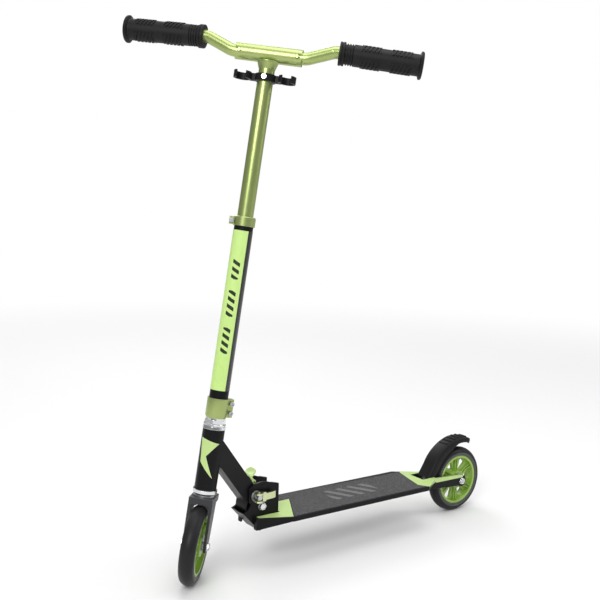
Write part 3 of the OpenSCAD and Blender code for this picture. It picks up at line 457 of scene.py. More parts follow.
def make_wrap():
    material = make_finish(
        "printed_wrap", (0.52, 0.76, 0.22), (0.57, 0.80, 0.27), (0.24, 0.34),
        grain_scale=700, relief=0.03, coat=0.3)
    tree = material.node_tree
    shader = tree.nodes["Principled BSDF"]
    base = shader.inputs["Base Color"].links[0].from_socket
    place = frame_coordinates(tree, wrap_frame)
    side = add_math(tree, "ARCTAN2", place["Y"], place["X"])
    height = add_math(tree, "SUBTRACT", place["Z"], wrap_low.z)
    length = wrap_high.z - wrap_low.z
    # The flashes lie in a few groups along the side of the tube that faces the camera.
    flashes = slant_bars(tree, height, side, 0.0115, 0.52, 0.008)
    band = between(tree, side, -0.50, 0.26)
    groups = slant_bars(tree, height, side, 0.058, 0.70, 0.0)
    span = between(tree, height, 0.19 * length, 0.82 * length)
    flashes = add_math(tree, "MULTIPLY", flashes, band)
    groups = add_math(tree, "MULTIPLY", groups, span)
    mark = add_math(tree, "MULTIPLY", flashes, groups)
    marked = mix_colours(tree, mark, base, (0.014, 0.022, 0.006))
    strip = between(tree, side, 0.66, 1.9)
    printed = mix_colours(tree, strip, marked, (0.010, 0.010, 0.011))
    tree.links.new(printed, shader.inputs["Base Color"])
    return material


facing_way = column.inverted().to_3x3() @ toward_camera
wrap_frame = column @ Matrix.Rotation(math.atan2(facing_way.y, facing_way.x), 4, "Z")
finishes["printed_wrap"] = make_wrap()
print("The wrap is", round((wrap_high.z - wrap_low.z) / MM), "mm long")

# %% [markdown]
# ## Rounded edges for the machined and folded pieces
#
# An edge that is perfectly sharp never catches light, and that is what makes a model look like a
# model. Each exact solid is copied, its loose triangles are joined and its flat faces are made
# whole again, and then a Bevel modifier rounds every edge that turns by more than a set angle.
# The copy stands in for the solid, whose own mesh stays as it is.

# %% The refining helper
sharp_angle = math.radians(32)
flat_angle = math.radians(0.4)
tab_radius = 8 * MM


def round_tab(shape):
    """Rounds the two outer corners of the release lever's tab, which a thumb presses."""
    height = max(vertex.co.z for vertex in shape.verts)
    corners = [edge for edge in shape.edges if edge.calc_length() < 5 * MM
               and min(vertex.co.z for vertex in edge.verts) > height - 6 * MM
               and abs((edge.verts[0].co - edge.verts[1].co).y) < 0.1 * MM]
    print("Tab corners:", len(corners))
    bmesh.ops.bevel(
        shape, geom=corners, offset=tab_radius, offset_type="OFFSET", affect="EDGES", segments=7,
        profile=0.5, material=-1, clamp_overlap=True)


def refined_copy(node, radius, material):
    """A copy of a node with rounded edges and smooth shading, which stands for it."""
    body = nodes[node]["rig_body"]
    mesh = bpy.data.meshes.new("smooth_" + node)
    shape = bmesh.new()
    shape.from_mesh(nodes[node].data)
    bmesh.ops.remove_doubles(shape, verts=shape.verts, dist=3e-6)
    bmesh.ops.dissolve_limit(
        shape, angle_limit=flat_angle, verts=shape.verts, edges=shape.edges)
    bmesh.ops.recalc_face_normals(shape, faces=shape.faces)
    if node == "release_lever":
        round_tab(shape)
    shape.to_mesh(mesh)
    shape.free()
    piece = bpy.data.objects.new("smooth_" + node, mesh)
    bpy.context.scene.collection.objects.link(piece)
    mesh.shade_smooth()
    mesh.set_sharp_from_angle(angle=sharp_angle)
    if radius:
        bevel = piece.modifiers.new("rounded edges", "BEVEL")
        bevel.width = radius
        bevel.segments = 2
        bevel.limit_method = "ANGLE"
        bevel.angle_limit = sharp_angle
        bevel.harden_normals = True
        bevel.use_clamp_overlap = True
    mesh.materials.clear()
    mesh.materials.append(material)
    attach(piece, body)
    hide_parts(node)
    return piece


slot_of = {part["node"]: part["material_slot"] for part in record["subparts"]}
print(len(slot_of), "nodes know their finish")

# %% [markdown]
# ## Wheels
#
# A scooter wheel is a hard lime core with a cast black tyre. The tyre is round about its axle, so
# half of its cross-section is drawn once, mirrored and spun. The sidewall carries a low bead ring
# and a slightly greyer band, which is a painted highlight for the sheen of the rubber there.

# %% Helpers that spin a profile and finish a piece
moulded_angle = math.radians(38)


def new_piece(name, shape, body, slot, materials, *replaced):
    """Turns a finished bmesh into an object that rides on a body and stands for CAD nodes."""
    mesh = bpy.data.meshes.new(name)
    shape.to_mesh(mesh)
    shape.free()
    for material in materials:
        mesh.materials.append(material)
    mesh.shade_smooth()
    mesh.set_sharp_from_angle(angle=moulded_angle)
    piece = bpy.data.objects.new(name, mesh)
    bpy.context.scene.collection.objects.link(piece)
    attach(piece, body)
    if replaced:
        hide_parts(*replaced)
    return piece


def spin_profile(shape, profile, steps, closed):
    """Spins (radius, height) points in millimetres about Z, and adds the result to shape."""
    corners = [shape.verts.new((radius * MM, 0, height * MM)) for radius, height in profile]
    pairs = list(zip(corners, corners[1:]))
    if closed:
        pairs.append((corners[-1], corners[0]))
    edges = [shape.edges.new(pair) for pair in pairs]
    bmesh.ops.spin(
        shape, geom=corners + edges, cent=(0, 0, 0), axis=(0, 0, 1),
        angle=2 * math.pi, steps=steps, use_merge=True, use_duplicate=False)
    bmesh.ops.remove_doubles(shape, verts=shape.verts, dist=1e-6)
    bmesh.ops.recalc_face_normals(shape, faces=shape.faces)


# %% Tyres
tyre_high = box_in("rear_tyre", rear_hub)[1]
core_high = box_in("rear_wheel_core", rear_hub)[1]
tyre_r = tyre_high.x / MM
tyre_half = tyre_high.z / MM
core_r = core_high.x / MM
crown_arc = tyre_half * 1.15
sheen_band_width = 5.8
tread_steps = 12
round_steps = 96
print("Tyres:", round(2 * tyre_r), "x", round(2 * tyre_half), "mm, cores:", round(2 * core_r), "mm")


def tyre_half_profile():
    """One side of the tyre, from the core out to the middle of its tread."""
    sidewall = [
        (core_r, tyre_half - 1.4), (core_r + 0.9, tyre_half - 0.2), (core_r + 2.6, tyre_half),
        (core_r + 3.3, tyre_half - 0.6), (core_r + 5.4, tyre_half - 0.7),
        (core_r + 6.0, tyre_half - 0.2)]
    tread = []
    first = math.acos(0.30)
    for step in range(tread_steps + 1):
        angle = first * (1 - step / tread_steps)
        reach = tyre_r - crown_arc + crown_arc * math.cos(angle)
        tread.append((reach, min(crown_arc * math.sin(angle), tyre_half - 0.2)))
    return sidewall + [point for point in tread if point[0] > core_r + 6.6]


def make_tyre(name, place, body, node):
    half = tyre_half_profile()
    other = [(radius, -height) for radius, height in reversed(half[:-1])]
    shape = bmesh.new()
    spin_profile(shape, half + other, round_steps, closed=True)
    # Faces near the core take the lighter grey, a painted highlight on the sidewall band.
    for face in shape.faces:
        reach = face.calc_center_median().to_2d().length / MM
        face.material_index = 1 if reach < core_r + sheen_band_width else 0
    shape.transform(place)
    rubbers = [finishes["tyre_rubber"], finishes["tyre_painted_sheen"]]
    return new_piece(name, shape, body, "tyre_rubber", rubbers, node)


for name, place, body in (("front", front_hub, "front_wheel"), ("rear", rear_hub, "rear_wheel")):
    tyre = make_tyre(name + "_tyre_cast", place, body, name + "_tyre")
    print(tyre.name, "has", len(tyre.data.polygons), "faces")

# %% [markdown]
# The cores are injection moulded. Their flat web is the exact solid, with its openings. What the
# mould adds is a pair of stiffening ribs along every spoke, a lip round the rim and a step round
# the bearing seat. Ribs are boxes whose tops sag between the hub and the rim, and each is turned
# round the hub to its place.

# %% Ribs, lips and hub steps of the wheel cores
spokes = 6
hub_edge = 17.0
rib_low, rib_high = 2.3, 8.6
rib_offset, rib_thickness, rib_sag = 2.6, 1.5, 3.2


def absorb(shape, part):
    """Moves a finished part into a larger shape."""
    carrier = bpy.data.meshes.new("carrier")
    part.to_mesh(carrier)
    part.free()
    shape.from_mesh(carrier)
    bpy.data.meshes.remove(carrier)


def bevel_all(shape, radius, segments=2):
    bmesh.ops.bevel(
        shape, geom=shape.edges[:], offset=radius, offset_type="OFFSET", affect="EDGES",
        segments=segments, profile=0.5, material=-1)


def add_rib(shape, turn, offset, side):
    """One rib from hub to rim, beside the middle of a spoke, tall at its ends and lower between."""
    rib = bmesh.new()
    bmesh.ops.create_cube(rib, size=1.0)
    length = core_r - 3 - (hub_edge - 1)
    size = Vector((length, rib_thickness, rib_high - rib_low)) * MM
    bmesh.ops.scale(rib, vec=size, verts=rib.verts)
    long_edges = [edge for edge in rib.edges if edge.calc_length() > length * MM / 2]
    bmesh.ops.subdivide_edges(rib, edges=long_edges, cuts=6)
    for vertex in rib.verts:
        along = vertex.co.x / (length * MM) * 2
        if vertex.co.z > 0:
            vertex.co.z -= (1 - along ** 2) * rib_sag * MM
    move = Vector((hub_edge - 1 + length / 2, offset, (rib_high + rib_low) / 2)) * MM
    bmesh.ops.translate(rib, vec=move, verts=rib.verts)
    rib.transform(Matrix.Rotation(turn, 4, "Z"))
    rib.transform(Matrix.Scale(side, 4, (0, 0, 1)))
    absorb(shape, rib)


def make_core_detail(name, place, body):
    shape = bmesh.new()
    for side in (1, -1):
        for index in range(spokes):
            turn = 2 * math.pi * (index + 0.5) / spokes
            for offset in (-rib_offset, rib_offset):
                add_rib(shape, turn, offset, side)
    bmesh.ops.recalc_face_normals(shape, faces=shape.faces)
    half = core_high.z / MM
    for side in (1, -1):
        lip = [(core_r - 4.6, half - 0.5), (core_r - 4.2, half + 0.3), (core_r - 1.2, half + 0.3),
               (core_r - 0.7, half - 0.5)]
        step = [(hub_edge - 1.6, half - 1.0), (hub_edge - 1.4, half + 0.2),
                (hub_edge - 4.2, half + 0.2), (hub_edge - 4.6, half - 1.0)]
        for ring in (lip, step):
            profile = [(radius, height * side) for radius, height in ring]
            spin_profile(shape, profile, round_steps, closed=True)
    shape.transform(place)
    return new_piece(name, shape, body, "lime_core", [finishes["lime_core"]])


for name, place, body in (("front", front_hub, "front_wheel"), ("rear", rear_hub, "rear_wheel")):
    ribs = make_core_detail(name + "_core_ribs", place, body)
    print(ribs.name, "has", len(ribs.data.polygons), "faces")

# %% [markdown]
# ## Grips
#
# A push-on rubber grip has a thick inner flange, narrow rings next to it, a body with two patches
# of slanted ridges for the fingers and the palm, and a wide end flange that guards the hand. The
# whole grip is one spun profile with a fine grid of faces, and the ridges are faces of that grid,
# chosen along slanting lines, which are lifted off the surface.

# %% Grip sizes
grip_segments = 72
ridge_height = 1.2
ridges_per_mm, ridge_slant = 0.165, 6
ridge_patches = ((0.26, 0.50), (0.62, 0.86))
body_step = 1.5


def bar_place(side):
    """The axis of a grip: its origin is the inner flange's face and +Z points to the end."""
    name = "grip_" + side
    points = [vertex.co for vertex in nodes[name].data.vertices]
    outward = joint_axis("bar_" + side + "_pull")
    reach = [point.dot(outward) for point in points]
    inner = [point for point, far in zip(points, reach) if far < min(reach) + 5 * MM]
    outer = [point for point, far in zip(points, reach) if far > max(reach) - 5 * MM]
    start = sum(inner, Vector()) / len(inner)
    end = sum(outer, Vector()) / len(outer)
    return frame_at(start, end - start, joint_axis("steering_turn"))


def grip_fit(side):
    """The true axis of the grip, found from the middles of its two end faces, and its length."""
    place = bar_place(side)
    lowest, highest = box_in("grip_" + side, place)
    centre = place @ Vector(((lowest.x + highest.x) / 2, (lowest.y + highest.y) / 2, lowest.z))
    axis = place.to_3x3() @ Vector((0, 0, 1))
    return frame_at(centre, axis, joint_axis("steering_turn")), (highest.z - lowest.z) / MM


left_grip_place, grip_length = grip_fit("left")
right_grip_place, grip_length = grip_fit("right")
print("Each grip is", round(grip_length), "mm long")

# %% Model a grip
flange_r, grip_r, neck_r, end_r, bore_r = 18.3, 16.7, 15.0, 21.4, 9.9


def grip_profile():
    """The outside of the grip as (radius, height) points, from the bar to the middle of its end."""
    points = [(bore_r, 0.6), (flange_r - 1.2, 0), (flange_r - 0.3, 0.4), (flange_r, 1.3),
              (flange_r, 3.4), (flange_r - 0.9, 4.1), (flange_r - 0.9, 4.9), (flange_r, 5.6),
              (flange_r, 7.8), (flange_r - 0.4, 8.6), (neck_r, 9.2)]
    for start in (10.6, 14.6, 18.6):
        points += [(neck_r, start), (grip_r - 0.3, start + 0.4), (grip_r, start + 1.3),
                   (grip_r - 0.3, start + 2.2), (neck_r, start + 2.6)]
    body_from, body_to = 22.4, grip_length - 7.2
    rows = round((body_to - body_from) / body_step)
    points.append((neck_r + 0.3, body_from - 0.3))
    points += [(grip_r, body_from + (body_to - body_from) * row / rows) for row in range(rows + 1)]
    points += [(grip_r + 0.5, grip_length - 6.4), (end_r - 0.8, grip_length - 5.4),
               (end_r, grip_length - 4.6), (end_r, grip_length - 2.4),
               (end_r - 0.7, grip_length - 1.1), (end_r - 2.2, grip_length - 0.3),
               (end_r - 4.5, grip_length), (grip_r - 4, grip_length),
               (grip_r - 5, grip_length - 0.8), (0.8, grip_length - 0.8)]
    return points


def in_patch(turn, height):
    """True on the slanting ridges of the two patches. turn is in 0 to 1 round the grip."""
    share = height / grip_length
    if not any(first < share < last for first, last in ridge_patches):
        return False
    wave = (height * ridges_per_mm + turn * ridge_slant) % 1.0
    across = (turn * 2) % 1.0
    return wave < 0.5 and 0.10 < across < 0.90


def make_grip(side, place):
    shape = bmesh.new()
    spin_profile(shape, grip_profile(), grip_segments, closed=False)
    caps = [edge for edge in shape.edges if edge.is_boundary]
    bmesh.ops.holes_fill(shape, edges=caps, sides=grip_segments)
    chosen = []
    for face in shape.faces:
        spot = face.calc_center_median() / MM
        turn = math.atan2(spot.y, spot.x) / (2 * math.pi) % 1.0
        if abs(spot.to_2d().length - grip_r) < 0.2 and in_patch(turn, spot.z):
            chosen.append(face)
    lifted = bmesh.ops.extrude_face_region(shape, geom=chosen)["geom"]
    for vertex in [item for item in lifted if isinstance(item, bmesh.types.BMVert)]:
        outward = Vector((vertex.co.x, vertex.co.y, 0)).normalized()
        vertex.co += outward * ridge_height * MM
    bmesh.ops.delete(shape, geom=chosen, context="FACES")
    bmesh.ops.recalc_face_normals(shape, faces=shape.faces)
    shape.transform(place)
    return new_piece("rubber_grip_" + side, shape, "bar_" + side, "grip_rubber",
                     [finishes["grip_rubber"]], "grip_" + side)


for side, place in (("left", left_grip_place), ("right", right_grip_place)):
    grip = make_grip(side, place)
    print(grip.name, "has", len(grip.data.polygons), "faces")

# %% [markdown]
# ## The mudguard brake
#
# The rear mudguard is a single moulding that the heel presses on the tyre. Its cross-section is
# an arch, spun about a point near the axle. The skirts fade towards the tail, whose tip is rounded,
# the foot flares forward to the deck, and raised bars across the top keep a shoe from slipping.

# %% Mudguard sizes
guard_low, guard_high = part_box("brake_mudguard")
brake_pivot = joint_origin("brake_press")
guard_middle = (guard_low.y + guard_high.y) / 2
guard_half = (guard_high.y - guard_low.y) / 2 / MM
axle_x = joint_origin("rear_wheel_spin").x
axle_z = joint_origin("rear_wheel_spin").z
guard_r = (guard_high.z - axle_z) / MM
guard_centre = Vector((axle_x + 2.5 * MM, guard_middle, axle_z))
guard_frame = frame_at(guard_centre, (0, -1, 0), (0, 0, 1))
print("The mudguard: radius", round(guard_r, 1), "mm, width", round(2 * guard_half, 1), "mm")

# %% Shell of the mudguard
# The angles are in degrees round the mudguard's centre, and the other sizes in millimetres.
guard_start, guard_end = 168.0, 70.0
guard_wall = 3.4
skirt_r = guard_r - 15.5
fade_from, fade_over = 94, 22
tail_share = 0.60
tip_from, flare_from, flare_reach = 78, 150, 6.0
first_bar, bar_pitch, bar_count = 79, 7.2, 6


def guard_section():
    """The outer line across the mudguard as (radius, side) points in millimetres."""
    edge = guard_half - 0.2
    half = [(skirt_r, edge), (skirt_r + 5, edge), (guard_r - 5.2, edge),
            (guard_r - 2.6, edge - 0.7), (guard_r - 1.0, edge - 2.4),
            (guard_r - 0.3, edge - 5.2), (guard_r, edge - 10)]
    return half + [(guard_r, 0)] + [(radius, -side) for radius, side in reversed(half)]


def shape_guard(vertex):
    """Draws the skirts up towards the tail, rounds its tip and flares the foot forward."""
    angle = math.degrees(math.atan2(vertex.co.y, vertex.co.x))
    radius = vertex.co.to_2d().length / MM
    fade = min(max((angle - fade_from) / fade_over, 0), 1)
    fade = fade * fade * (3 - 2 * fade)
    depth = guard_r - radius
    radius = guard_r - depth * (tail_share + (1 - tail_share) * fade)
    flare = max((angle - flare_from) / (guard_start - flare_from), 0)
    radius += flare_reach * flare ** 2
    tip = max((tip_from - angle) / (tip_from - guard_end), 0)
    vertex.co.z *= math.sqrt(max(1 - 0.60 * tip ** 2, 0))
    radius -= 2.0 * tip ** 2
    turn = math.radians(angle)
    vertex.co.x = radius * MM * math.cos(turn)
    vertex.co.y = radius * MM * math.sin(turn)


def make_mudguard():
    shape = bmesh.new()
    first = math.radians(guard_start)
    across, up = math.cos(first), math.sin(first)
    points = [shape.verts.new(Vector((radius * across, radius * up, side)) * MM)
              for radius, side in guard_section()]
    edges = [shape.edges.new(pair) for pair in zip(points, points[1:])]
    bmesh.ops.spin(
        shape, geom=points + edges, cent=(0, 0, 0), axis=(0, 0, 1),
        angle=math.radians(guard_end - guard_start), steps=48, use_merge=False, use_duplicate=False)
    for vertex in shape.verts:
        shape_guard(vertex)
    bmesh.ops.recalc_face_normals(shape, faces=shape.faces)
    # An open shell has no inside, so its top face decides which way all of them look.
    top = max(shape.faces, key=lambda face: face.calc_center_median().to_2d().length)
    if top.normal.dot(top.calc_center_median()) < 0:
        bmesh.ops.reverse_faces(shape, faces=shape.faces)
    bmesh.ops.solidify(shape, geom=shape.faces[:], thickness=guard_wall * MM)
    bmesh.ops.recalc_face_normals(shape, faces=shape.faces)
    add_tread_bars(shape)
    add_feet(shape)
    shape.transform(guard_frame)
    piece = new_piece("heel_brake", shape, "brake", "black_plastic", [finishes["black_plastic"]],
                      "brake_mudguard")
    soften = piece.modifiers.new("softened edges", "BEVEL")
    soften.width = 0.8 * MM
    soften.segments = 2
    soften.limit_method = "ANGLE"
    soften.angle_limit = math.radians(40)
    return piece


def add_tread_bars(shape):
    """Raised bars across the top of the tail, where the heel presses."""
    for index in range(bar_count):
        angle = first_bar + index * bar_pitch
        bar = bmesh.new()
        bmesh.ops.create_cube(bar, size=1.0)
        width = (guard_half - 5.5) * 2 * (0.80 if index == 0 else 1.0)
        bmesh.ops.scale(bar, vec=(3.0 * MM, 5.4 * MM, width * MM), verts=bar.verts)
        bevel_all(bar, 1.1 * MM, 3)
        bar.transform(Matrix.Translation(Vector(((guard_r + 0.1) * MM, 0, 0))))
        bar.transform(Matrix.Rotation(math.radians(angle), 4, "Z"))
        absorb(shape, bar)


def add_feet(shape):
    """Two feet that reach from the shell down to the hinge pin."""
    pin = guard_frame.inverted() @ brake_pivot
    shell = math.radians(guard_start - 5)
    for side in (1, -1):
        foot = bmesh.new()
        rim = bmesh.ops.create_circle(foot, segments=24, radius=5.4 * MM)["verts"]
        bmesh.ops.translate(foot, verts=rim, vec=Vector((pin.x, pin.y, 0)))
        for radius in (guard_r - 1.2, guard_r - 5.5):
            foot.verts.new((radius * MM * math.cos(shell), radius * MM * math.sin(shell), 0))
        bmesh.ops.convex_hull(foot, input=foot.verts)
        others = [face for face in foot.faces if face.normal.z <= 0.5]
        bmesh.ops.delete(foot, geom=others, context="FACES")
        bmesh.ops.dissolve_limit(foot, angle_limit=0.02, verts=foot.verts, edges=foot.edges)
        grown = bmesh.ops.extrude_face_region(foot, geom=foot.faces[:])["geom"]
        thick = [item for item in grown if isinstance(item, bmesh.types.BMVert)]
        bmesh.ops.translate(foot, verts=thick, vec=(0, 0, 8.6 * MM))
        bmesh.ops.translate(foot, verts=foot.verts, vec=(0, 0, 6.3 * MM))
        foot.transform(Matrix.Scale(side, 4, (0, 0, 1)))
        bmesh.ops.recalc_face_normals(foot, faces=foot.faces)
        if foot.calc_volume(signed=True) < 0:
            bmesh.ops.reverse_faces(foot, faces=foot.faces[:])
        absorb(shape, foot)


heel_brake = make_mudguard()
print(heel_brake.name, "has", len(heel_brake.data.polygons), "faces")

# %% [markdown]
# ## The film at the rear
#
# A pale film covers the rear of the deck, folds over its tapering edge and runs on along the outer
# side of both arms to the axle. On each side it is lofted as an L-shaped strip, whose sections
# follow the deck's outline and then the arm's top. A thin plate fills the deck between them.

# %% Model the rear film
film_thick = 0.4
film_gap = 0.05
plate_low, plate_high = [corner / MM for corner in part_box("deck")]
arms_low, arms_high = [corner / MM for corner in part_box("rear_arms")]
deck_tip = plate_high.x
centre_y = guard_middle / MM
deck_half = (plate_high.y - plate_low.y) / 2
arm_out = (arms_high.y - arms_low.y) / 2
arm_in = arm_out - 5.0
taper = 46
corner_x = deck_tip - taper
notch_x = deck_tip - 28
tip_top = 80.78
arm_top_start, arm_top_end = 79.36, 73.5
flap_start, flap_full, flap_end = 1.0, 7.4, 3.4
film_end = axle_x / MM + 2


def deck_top(x):
    return tip_top + (deck_tip - x) * math.sin(math.radians(1))


def arm_top(x):
    share = (x - deck_tip - 0.8) / (axle_x / MM - deck_tip - 0.8)
    return arm_top_start + (arm_top_end - arm_top_start) * share


def strip_sections(first):
    """Sections of one strip as (x, outer side, inner side, top, depth of the flap)."""
    sections = []
    for x in (first, deck_tip - 30, deck_tip - 20, deck_tip - 10, deck_tip - 3, deck_tip + 0.4):
        outer = arm_out + (deck_half - arm_out) * min(max((deck_tip - x) / taper, 0), 1)
        depth = flap_start + (flap_full - flap_start) * (x - corner_x) / taper
        sections.append((x, outer, max(outer - 9, arm_in), deck_top(x), depth))
    for x in (deck_tip + 2.5, deck_tip + 20, deck_tip + 40, deck_tip + 60, film_end):
        depth = flap_full + (flap_end - flap_full) * (x - deck_tip) / (film_end - deck_tip)
        sections.append((x, arm_out, arm_in + 0.2, arm_top(x), depth))
    return sections


def add_strip(shape, side, first):
    """One strip, bridged from section to section and closed at both ends."""
    strip = bmesh.new()
    rings = []
    for x, outer, inner, top, depth in strip_sections(first):
        back, skin = outer + film_gap, top + film_thick - film_gap
        points = [(outer + film_thick, skin), (outer + film_thick, top - depth),
                  (back, top - depth), (back, top + film_gap), (inner, top + film_gap),
                  (inner, skin)]
        corners = [strip.verts.new(Vector((x, centre_y + side * reach, height)) * MM)
                   for reach, height in points]
        rings.append([strip.edges.new(pair) for pair in zip(corners, corners[1:] + corners[:1])])
    for ring, after in zip(rings, rings[1:]):
        bmesh.ops.bridge_loops(strip, edges=ring + after)
    bmesh.ops.holes_fill(strip, edges=[edge for edge in strip.edges if edge.is_boundary], sides=6)
    bmesh.ops.recalc_face_normals(strip, faces=strip.faces)
    absorb(shape, strip)


def add_plate(shape, outline):
    """A plate on the deck's top from (x, distance from the middle line) corners."""
    lower = [shape.verts.new(Vector((x, centre_y + y, deck_top(x) + 0.03)) * MM)
             for x, y in outline]
    floor_face = shape.faces.new(lower)
    grown = bmesh.ops.extrude_face_region(shape, geom=[floor_face])["geom"]
    raised = [item for item in grown if isinstance(item, bmesh.types.BMVert)]
    bmesh.ops.translate(shape, verts=raised, vec=(0, 0, film_thick * MM))


def make_film():
    shape = bmesh.new()
    add_strip(shape, -1, corner_x + 1)
    add_strip(shape, 1, deck_tip - 34)
    add_plate(shape, [
        (notch_x - 9, deck_half - 13), (notch_x - 21, 0), (notch_x - 31, -deck_half + 17),
        (corner_x - 2.5, -deck_half + 1.6), (corner_x + 1, -deck_half + 1.2),
        (deck_tip - 0.6, -arm_out), (deck_tip - 0.6, -arm_in - 0.4), (notch_x - 0.8, -arm_in - 0.4),
        (notch_x - 0.8, arm_in + 0.4), (deck_tip - 0.6, arm_in + 0.4),
        (deck_tip - 0.6, arm_out - 0.4)])
    bmesh.ops.recalc_face_normals(shape, faces=shape.faces)
    return new_piece("rear_film", shape, nodes["rear_graphic"]["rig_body"], "pale_graphic",
                     [finishes["pale_graphic"]], "rear_graphic")


rear_film = make_film()
print(rear_film.name, "has", len(rear_film.data.polygons), "faces")

# %% [markdown]
# ## Every other piece
#
# The pieces that are seen get rounded edges, each with a radius that suits how it was made: wide
# on castings, narrow on nuts. The release lever keeps its crisp edges, because its tab is rounded
# in plan instead. What stays hidden inside keeps its exact solid and only takes its finish.

# %% Round the visible pieces
edge_radius = {
    "deck": 1.0 * MM, "fold_bracket": 1.2 * MM, "rear_arms": 1.0 * MM, "down_beam": 0.8 * MM,
    "fork": 1.6 * MM, "lower_clamp": 0.8 * MM, "top_collar": 0.8 * MM, "handle_holder": 1.2 * MM,
    "handlebar_tee": 0.6 * MM, "inner_tube": 0.4 * MM, "outer_tube": 0.4 * MM,
    "headset_cups": 0.5 * MM, "headset_nut": 0.5 * MM, "pivot_nut": 0.4 * MM,
    "pivot_bolt": 0.5 * MM, "skewer_nut": 0.7 * MM, "skewer_washer": 0.25 * MM,
    "quick_release_skewer": 0.4 * MM, "cam_pin": 0.4 * MM, "rear_axle_nuts": 0.4 * MM,
    "front_axle_nuts": 0.4 * MM, "front_washers": 0.3 * MM, "rear_washers": 0.3 * MM,
    "clamp_bolts": 0.4 * MM, "collar_bolt": 0.4 * MM, "holder_screw": 0.4 * MM,
    "lever_lugs": 0.5 * MM, "snap_button_left": 0.8 * MM, "snap_button_right": 0.8 * MM,
    "handlebar_left": 0.5 * MM, "handlebar_right": 0.5 * MM, "release_lever": 0,
    "cam_lever": 0.7 * MM, "crown_race": 0.3 * MM,
    "front_wheel_core": 0.5 * MM, "rear_wheel_core": 0.5 * MM,
}
own_finish = {
    # The cam lever takes the lighter olive, whose lightness is a painted highlight.
    "cam_lever": "cast_olive_painted_highlight",
    "snap_button_left": "olive_metal",
    "snap_button_right": "olive_metal",
}
for node, radius in edge_radius.items():
    refined_copy(node, radius, material=finishes[own_finish.get(node, slot_of[node])])
print(len(edge_radius), "pieces are refined")

# %% Finish every other node in place
finish_of = dict(slot_of, tube_wrap="printed_wrap")
for name, node in nodes.items():
    if name not in edge_radius:
        node.data.materials.clear()
        node.data.materials.append(finishes[finish_of[name]])
print(len(nodes) - len(edge_radius), "nodes keep their own mesh")

# %% [markdown]
# ## Floor, light and camera
#
# A studio shot of a black and green object needs large soft lights, so that tubes show a long
# clean highlight, and a floor and background that are almost white.

# %% The studio floor


def make_floor():
    shape = bmesh.new()
    bmesh.ops.create_circle(shape, cap_ends=True, segments=96, radius=floor_radius)
    mesh = bpy.data.meshes.new("studio_floor")
    shape.to_mesh(mesh)
    shape.free()
    floor = bpy.data.objects.new("studio_floor", mesh)
    bpy.context.scene.collection.objects.link(floor)
    material = bpy.data.materials.new("floor_paper")
    material.use_nodes = True
    tree = material.node_tree
    shader = tree.nodes["Principled BSDF"]
    shader.inputs["Base Color"].default_value = (0.84, 0.84, 0.84, 1)
    shader.inputs["Roughness"].default_value = 0.8
    shader.inputs["Specular IOR Level"].default_value = 0.2
    glow = tree.nodes.new("ShaderNodeEmission")
    glow.inputs["Color"].default_value = (*backdrop_white, 1)
    where = tree.nodes.new("ShaderNodeTexCoord")
    # Far from the scooter the floor glows like the backdrop, but only to the camera.
    distance = tree.nodes.new("ShaderNodeVectorMath")
    distance.operation = "LENGTH"
    tree.links.new(where.outputs["Object"], distance.inputs[0])
    fade = tree.nodes.new("ShaderNodeMapRange")
    fade.interpolation_type = "SMOOTHSTEP"
    fade.inputs["From Min"].default_value = 0.9
    fade.inputs["From Max"].default_value = 3.2
    tree.links.new(distance.outputs["Value"], fade.inputs["Value"])
    path = tree.nodes.new("ShaderNodeLightPath")
    seen = add_math(tree, "MULTIPLY", fade.outputs["Result"], path.outputs["Is Camera Ray"])
    blend = tree.nodes.new("ShaderNodeMixShader")
    tree.links.new(seen, blend.inputs[0])
    tree.links.new(shader.outputs[0], blend.inputs[1])
    tree.links.new(glow.outputs[0], blend.inputs[2])
    tree.links.new(blend.outputs[0], tree.nodes["Material Output"].inputs["Surface"])
    mesh.materials.append(material)
    floor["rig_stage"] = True
    return floor


backdrop_white = (1.0, 1.0, 1.0)
floor_radius = 60
make_floor()
print("The floor is a disc of paper,", floor_radius, "m in radius")

# %% Lights


def soft_light(name, offset, size, power, aim):
    """A square area light at an offset from the scooter's middle, turned to face aim."""
    data = bpy.data.lights.new(name, "AREA")
    data.size = size
    data.energy = power
    light = bpy.data.objects.new(name, data)
    light.location = middle + Vector(offset)
    light.rotation_mode = "QUATERNION"
    light.rotation_quaternion = (light.location - aim).to_track_quat("Z", "Y")
    bpy.context.scene.collection.objects.link(light)
    return light


soft_light("key_light", (-2.0, -1.4, 1.3), 1.0, 32, middle)
soft_light("side_light", (1.9, -1.2, 0.9), 0.8, 9, middle)
soft_light("back_light", (0.6, 2.0, 1.3), 1.2, 14, middle)
soft_light("top_light", (0.1, -0.2, 2.3), 1.6, 20, middle)
print("Lights:", [item.name for item in bpy.data.lights])

# %% The air round the studio
# The background is white to the camera. What lights and mirrors in the scooter is a gradient,
# bright above and dim at the horizon, because tubes and cups need something dark to mirror.


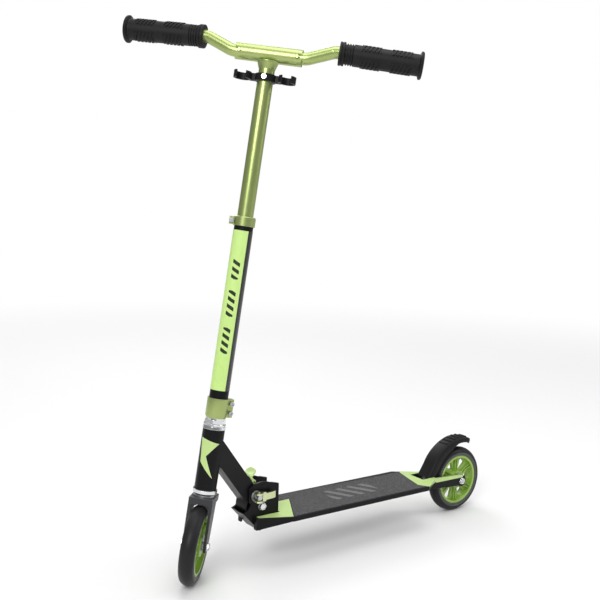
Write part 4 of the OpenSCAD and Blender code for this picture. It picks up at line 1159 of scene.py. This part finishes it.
def make_world():
    world = bpy.data.worlds.new("studio_air")
    bpy.context.scene.world = world
    world.use_nodes = True
    tree = world.node_tree
    lit = tree.nodes["Background"]
    seen = tree.nodes.new("ShaderNodeBackground")
    seen.inputs["Color"].default_value = (*backdrop_white, 1)
    where = tree.nodes.new("ShaderNodeTexCoord")
    split = tree.nodes.new("ShaderNodeSeparateXYZ")
    tree.links.new(where.outputs["Generated"], split.inputs[0])
    ramp = tree.nodes.new("ShaderNodeMapRange")
    ramp.interpolation_type = "SMOOTHSTEP"
    ramp.inputs["From Min"].default_value = 0.05
    ramp.inputs["From Max"].default_value = 0.75
    ramp.inputs["To Min"].default_value = 0.24
    ramp.inputs["To Max"].default_value = 0.75
    tree.links.new(split.outputs["Z"], ramp.inputs["Value"])
    tree.links.new(ramp.outputs["Result"], lit.inputs["Strength"])
    path = tree.nodes.new("ShaderNodeLightPath")
    blend = tree.nodes.new("ShaderNodeMixShader")
    tree.links.new(path.outputs["Is Camera Ray"], blend.inputs[0])
    tree.links.new(lit.outputs[0], blend.inputs[1])
    tree.links.new(seen.outputs[0], blend.inputs[2])
    tree.links.new(blend.outputs[0], tree.nodes["World Output"].inputs["Surface"])
    lit.inputs["Color"].default_value = (1, 1, 1, 1)
    return world


world = make_world()
print("The air is", world.name)
bpy.context.scene.view_settings.view_transform = "Standard"

# %% The camera
camera_distance = 1.511
camera_roll = math.radians(1.8)
aim_point = middle + Vector((-0.1029, -0.0122, -0.0055))
lens_data = bpy.data.cameras.new("studio_camera")
lens_data.sensor_width = 36
lens_data.lens = 55.18
camera = bpy.data.objects.new("studio_camera", lens_data)
camera.location = aim_point + toward_camera * camera_distance
camera.rotation_mode = "QUATERNION"
facing = toward_camera.to_track_quat("Z", "Y")
camera.rotation_quaternion = facing @ Matrix.Rotation(camera_roll, 4, "Z").to_quaternion()
bpy.context.scene.collection.objects.link(camera)
bpy.context.scene.camera = camera
print("The camera is", round(camera_distance, 2), "m from the point it looks at")

# %% Measure the finished scooter
visual_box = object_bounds()
finished = visual_box[1] - visual_box[0]
print("The finished scooter measures", [round(side / MM) for side in finished], "mm")
